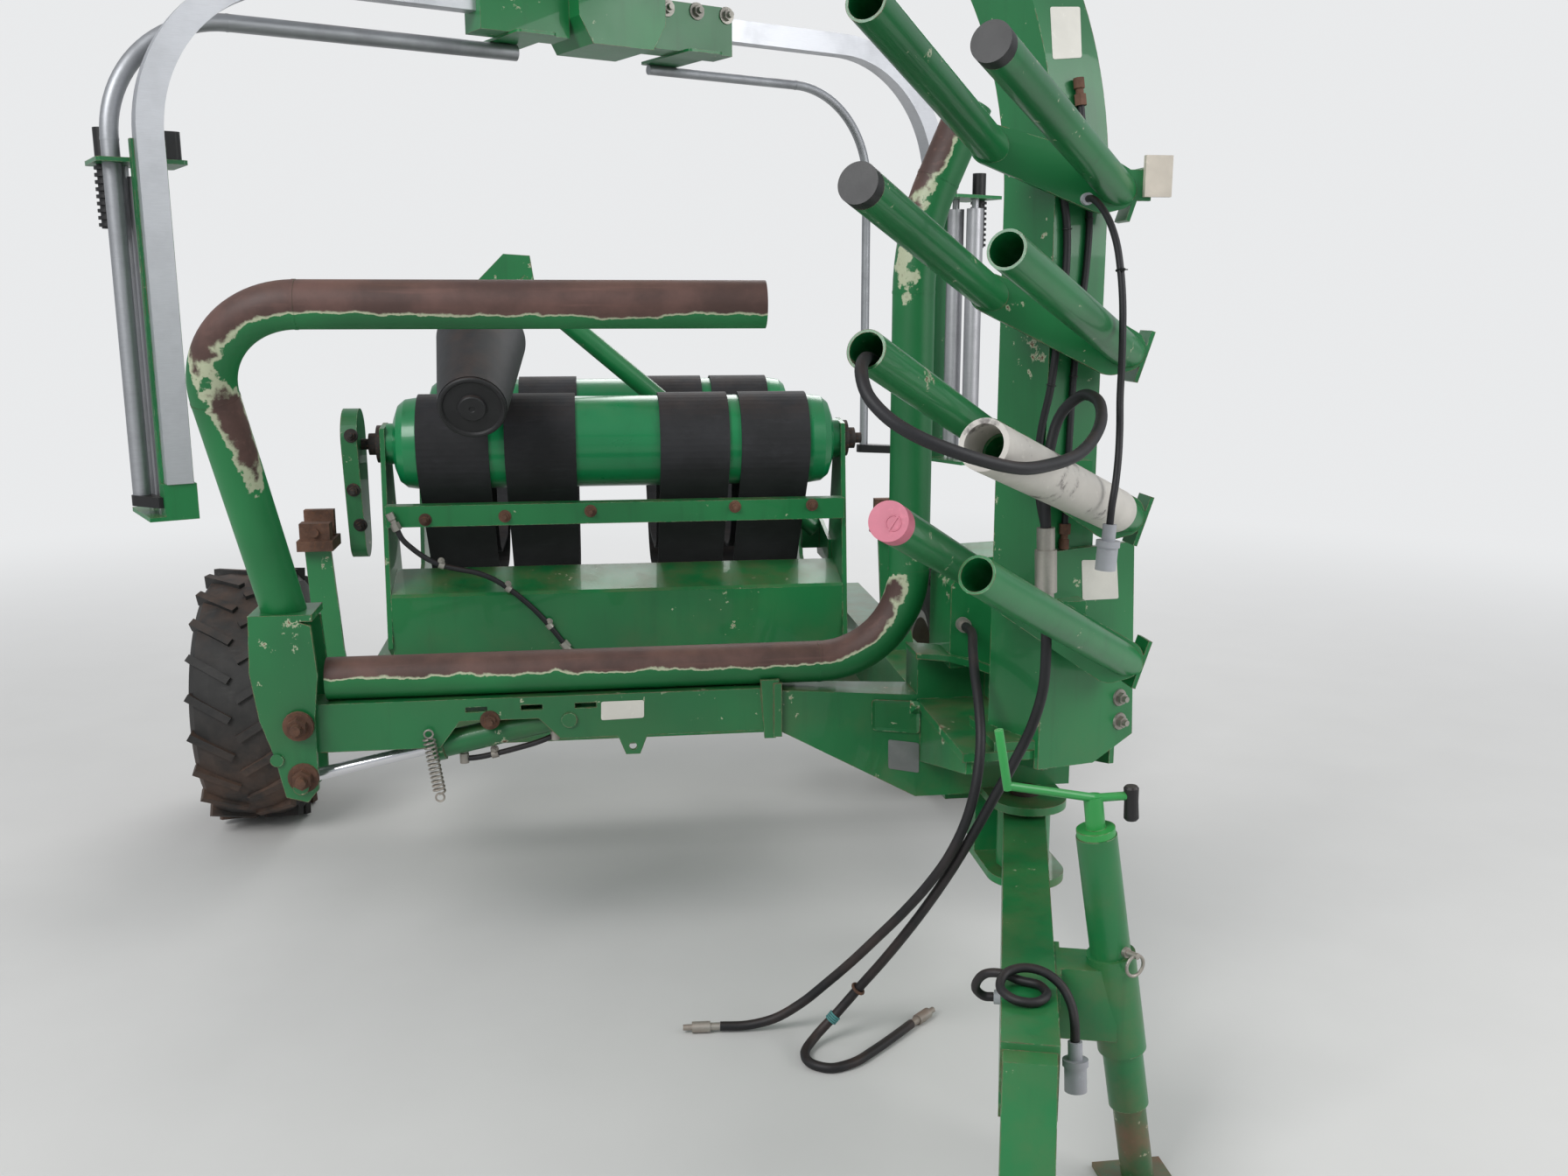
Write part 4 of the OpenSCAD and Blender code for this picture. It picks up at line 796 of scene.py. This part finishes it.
for name, hose in mastLines.items():
    makeMastLine(name, hose)
print("stage: lines on the mast")

# the pink cap's coin slot
capSlot = {"at": (1021, 598), "radius": 0.013, "wire": 0.0014, "bar": (0.030, 0.0035, 0.0025), "turn": 62}


def makeCapSlot():
    spot = hitPixel("pink_cap", capSlot["at"])
    if not spot:
        return
    at, outward = spot
    bm = bmesh.new()
    addTurned(bm, at, outward, ringOutline(capSlot["radius"], capSlot["wire"], 6), 28)
    half = Vector(capSlot["bar"]) / 2
    addBlock(bm, -half, half, aimed(at, outward) @ Matrix.Rotation(math.radians(capSlot["turn"]), 4, "Z"))
    newPiece("pink_cap_slot", bm, "pinkPlastic", "chassis")


makeCapSlot()

# the spring that hangs from the front beam, with an eye at each end
lockSpring = {
    "low": (-457, -1508, 566), "high": (-476, -1508, 700), "radius": 0.013, "wire": 0.0026, "turns": 13,
    "eye": 0.010, "eyeWire": 0.0024,
}


def addSpring(bm, low, high, radius, wire, turns):
    before = set(bm.verts)
    length = (high - low).length
    place = Matrix.Translation((radius, 0, 0)) @ Matrix.Rotation(math.pi / 2, 4, "X")
    made = bmesh.ops.create_circle(bm, cap_ends=True, segments=8, radius=wire, matrix=place)["verts"]
    section = made + list({e for v in made for e in v.link_edges})
    section += list({f for v in made for f in v.link_faces})
    steps = 14 * turns  # 14 steps make a smooth turn of this size
    bmesh.ops.spin(
        bm, geom=section, cent=(0, 0, 0), axis=(0, 0, 1), dvec=(0, 0, length / steps),
        angle=math.tau * turns, steps=steps,
    )
    bmesh.ops.transform(bm, matrix=aimed(low, high - low), verts=[v for v in bm.verts if v not in before])


def makeLockSpring():
    bm = bmesh.new()
    low, high = placed(lockSpring["low"]), placed(lockSpring["high"])
    addSpring(bm, low, high, lockSpring["radius"], lockSpring["wire"], lockSpring["turns"])
    eye = ringOutline(lockSpring["eye"], lockSpring["eyeWire"])
    for end, lift in ((low, -0.012), (high, 0.010)):
        addTurned(bm, end + Vector((0, 0, lift)), (0, 1, 0), eye, 16)
    newPiece("lock_spring", bm, "zinc", "chassis")


makeLockSpring()

# jack: lock pin with its ring, and the crank's right arm with its grip
jackFittings = {
    "pin": (1286, 1088), "ring": 0.020, "wire": 0.0032, "ringAt": 0.024, "ringFaces": (0.35, -0.94, 0),
    "crank": (1252, 911),
    "pinOutline": [(0, -0.004), (0.010, -0.004), (0.010, 0.006), (0.006, 0.006), (0.006, 0.030), (0, 0.031)],
    "bar": (-0.008, 0.006, -0.004), "barAlong": (1, 0, 0.02),
    "barOutline": [(0, 0), (0.008, 0), (0.008, 0.078), (0.006, 0.080), (0, 0.080)],
    "grip": (0.070, 0.006, 0.016), "gripAlong": (0.05, 0, -1),
    "gripOutline": [
        (0, 0), (0.011, 0), (0.014, 0.004), (0.013, 0.03), (0.014, 0.062), (0.011, 0.066), (0, 0.066),
    ],
}


def makeLockPin():
    spot = hitPixel("jack_tube", jackFittings["pin"])
    if not spot:
        return
    at, outward = spot
    bm = bmesh.new()
    addTurned(bm, at, outward, jackFittings["pinOutline"], 18)
    centre = at + outward * jackFittings["ringAt"] + Vector((0, 0, -jackFittings["ring"]))
    ring = ringOutline(jackFittings["ring"], jackFittings["wire"], 10)
    addTurned(bm, centre, jackFittings["ringFaces"], ring, 28)
    newPiece("jack_lock_pin", bm, "zinc", "drawbar")


def makeCrankArm():
    spot = hitPixel("jack_crank", jackFittings["crank"])
    if not spot:
        return
    bm = bmesh.new()
    start = spot[0] + Vector(jackFittings["grip"])
    addTurned(bm, start, jackFittings["gripAlong"], jackFittings["gripOutline"], 20)
    newPiece("crank_grip", bm, "blackPlastic", "drawbar")
    bm = bmesh.new()
    start = spot[0] + Vector(jackFittings["bar"])
    addTurned(bm, start, jackFittings["barAlong"], jackFittings["barOutline"], 16)
    newPiece("crank_bar", bm, "limePaint", "drawbar")


makeLockPin()
makeCrankArm()

# the cone roller's moulded end over its shaft, from the axis round to the axis: bore, rim and hub
coneCap = {
    "small": (-392, -880, 1424), "big": (-386, -530, 1588),
    "outline": [
        (0, 0.0095), (0.0205, 0.0095), (0.0205, 0.0003), (0.0905, 0.0003), (0.0905, 0.006), (0.088, 0.009),
        (0.084, 0.010), (0.080, 0.009), (0.076, 0.004), (0.039, 0.004), (0.037, 0.011), (0.034, 0.014),
        (0.009, 0.014), (0.007, 0.012), (0, 0.012),
    ],
}


def makeConeCap():
    small, big = placed(coneCap["small"]), placed(coneCap["big"])
    bm = bmesh.new()
    addTurned(bm, small, small - big, coneCap["outline"], 48)
    newPiece("cone_cap", bm, "rubber", "cone")


makeConeCap()
print("stage: cap slot, spring, jack fittings and cone cap")

# what holds the hoses together: a rusty ring, twine and a cable tie
bundling = {
    "ring": {"cord": "long_hose", "point": 11, "radius": 0.0145, "wire": 0.0036},
    "twine": {"cord": "long_hose", "point": 12, "radius": 0.0128, "wire": 0.0022, "turns": 4, "pitch": 0.005},
    "tie": {
        "cord": "control_cable", "point": 5, "radius": 0.0082, "wire": 0.0018,
        "head": ((-0.003, -0.014, -0.003), (0.003, -0.007, 0.003)),
        "tail": ((-0.0015, -0.034, -0.001), (0.0015, -0.013, 0.001)),
    },
}


def alongCord(name, point):
    route = [placed(p) for p in cords[name]["route"]]
    return route[point], (route[point + 1] - route[point - 1]).normalized()


def makeBundling():
    ring, twine, tie = bundling["ring"], bundling["twine"], bundling["tie"]
    bm = bmesh.new()
    at, heading = alongCord(ring["cord"], ring["point"])
    addTurned(bm, at, heading, ringOutline(ring["radius"], ring["wire"]), 24)
    newPiece("hose_ring", bm, "rusty", "chassis")
    bm = bmesh.new()
    at, heading = alongCord(twine["cord"], twine["point"])
    for k in range(twine["turns"]):
        turn = ringOutline(twine["radius"], twine["wire"])
        addTurned(bm, at + heading * (k * twine["pitch"]), heading, turn, 20)
    newPiece("hose_twine", bm, "twine", "chassis")
    bm = bmesh.new()
    at, heading = alongCord(tie["cord"], tie["point"])
    addTurned(bm, at, heading, ringOutline(tie["radius"], tie["wire"]), 20)
    addBlock(bm, *tie["head"], Matrix.Translation(at))
    addBlock(bm, *tie["tail"], Matrix.Translation(at))
    newPiece("cable_tie", bm, "blackPlastic", "chassis")


makeBundling()
print("stage: ring, twine and tie")


# floor and light
studio = {
    "floor": ((0.60, 0.59, 0.575), (0.64, 0.63, 0.615)), "backdrop": (0.86, 0.87, 0.88), "glow": 0.95,
    "fade": (2.6, 8.5), "air": (0.92, 0.96, 1.0), "airLight": 0.55,
}


def makeFloor():
    # lit near the machine, and fading into the backdrop further away
    floor = bmesh.new()
    bmesh.ops.create_grid(floor, x_segments=1, y_segments=1, size=40)
    mesh = bpy.data.meshes.new("floor")
    floor.to_mesh(mesh)
    floor.free()
    piece = bpy.data.objects.new("floor", mesh)
    bpy.context.scene.collection.objects.link(piece)
    f = Finish("pale_floor")
    tone = f.mix(f.noise(3, 3), *studio["floor"])
    near = f.node("ShaderNodeBsdfPrincipled", inputs={"Base Color": tone, "Roughness": 0.9})
    pale = (*studio["backdrop"], 1)
    glow = f.node("ShaderNodeEmission", inputs={"Color": pale, "Strength": studio["glow"]})
    distance = f.node("ShaderNodeVectorMath", {"operation": "LENGTH"}, {0: f.place}, out="Value")
    away = f.step(distance, *studio["fade"])
    seen = f.node("ShaderNodeLightPath", out="Is Camera Ray")
    both = f.node("ShaderNodeMixShader", inputs={0: away * seen, 1: near, 2: glow})
    out = f.tree.nodes.new("ShaderNodeOutputMaterial")
    f.tree.links.new(both.socket, out.inputs[0])
    mesh.materials.append(f.material)


def makeAir():
    # the camera sees the backdrop, and the machine gets soft light from all round
    world = bpy.data.worlds.new("studio")
    bpy.context.scene.world = world
    world.use_nodes = True
    tree = world.node_tree
    tree.nodes.clear()
    ray = tree.nodes.new("ShaderNodeLightPath")
    soft = tree.nodes.new("ShaderNodeBackground")
    soft.inputs["Color"].default_value = (*studio["air"], 1)
    soft.inputs["Strength"].default_value = studio["airLight"]
    seen = tree.nodes.new("ShaderNodeBackground")
    seen.inputs["Color"].default_value = (*studio["backdrop"], 1)
    seen.inputs["Strength"].default_value = studio["glow"]
    pick = tree.nodes.new("ShaderNodeMixShader")
    out = tree.nodes.new("ShaderNodeOutputWorld")
    tree.links.new(ray.outputs["Is Camera Ray"], pick.inputs[0])
    tree.links.new(soft.outputs[0], pick.inputs[1])
    tree.links.new(seen.outputs[0], pick.inputs[2])
    tree.links.new(pick.outputs[0], out.inputs[0])


# places and sizes in metres, power in watts
lamps = {
    "key": {"at": (-4.2, -4.6, 5.6), "size": 3.2, "power": 330},
    "fill": {"at": (5.2, -3.2, 3.6), "size": 3.5, "power": 150},
    "back": {"at": (1.5, 6.5, 5.2), "size": 4.0, "power": 220},
}


def makeLamps():
    middle = Vector((0, 0.3, 1.2))  # all three look at the middle of the machine
    for name, lamp in lamps.items():
        data = bpy.data.lights.new(name, "AREA")
        data.energy = lamp["power"]
        data.size = lamp["size"]
        light = bpy.data.objects.new(name, data)
        light.location = lamp["at"]
        light.rotation_euler = (middle - light.location).to_track_quat("-Z", "Y").to_euler()
        bpy.context.scene.collection.objects.link(light)


makeFloor()
makeAir()
makeLamps()
bpy.context.scene.view_settings.view_transform = "Standard"
print("stage: floor and lamps")
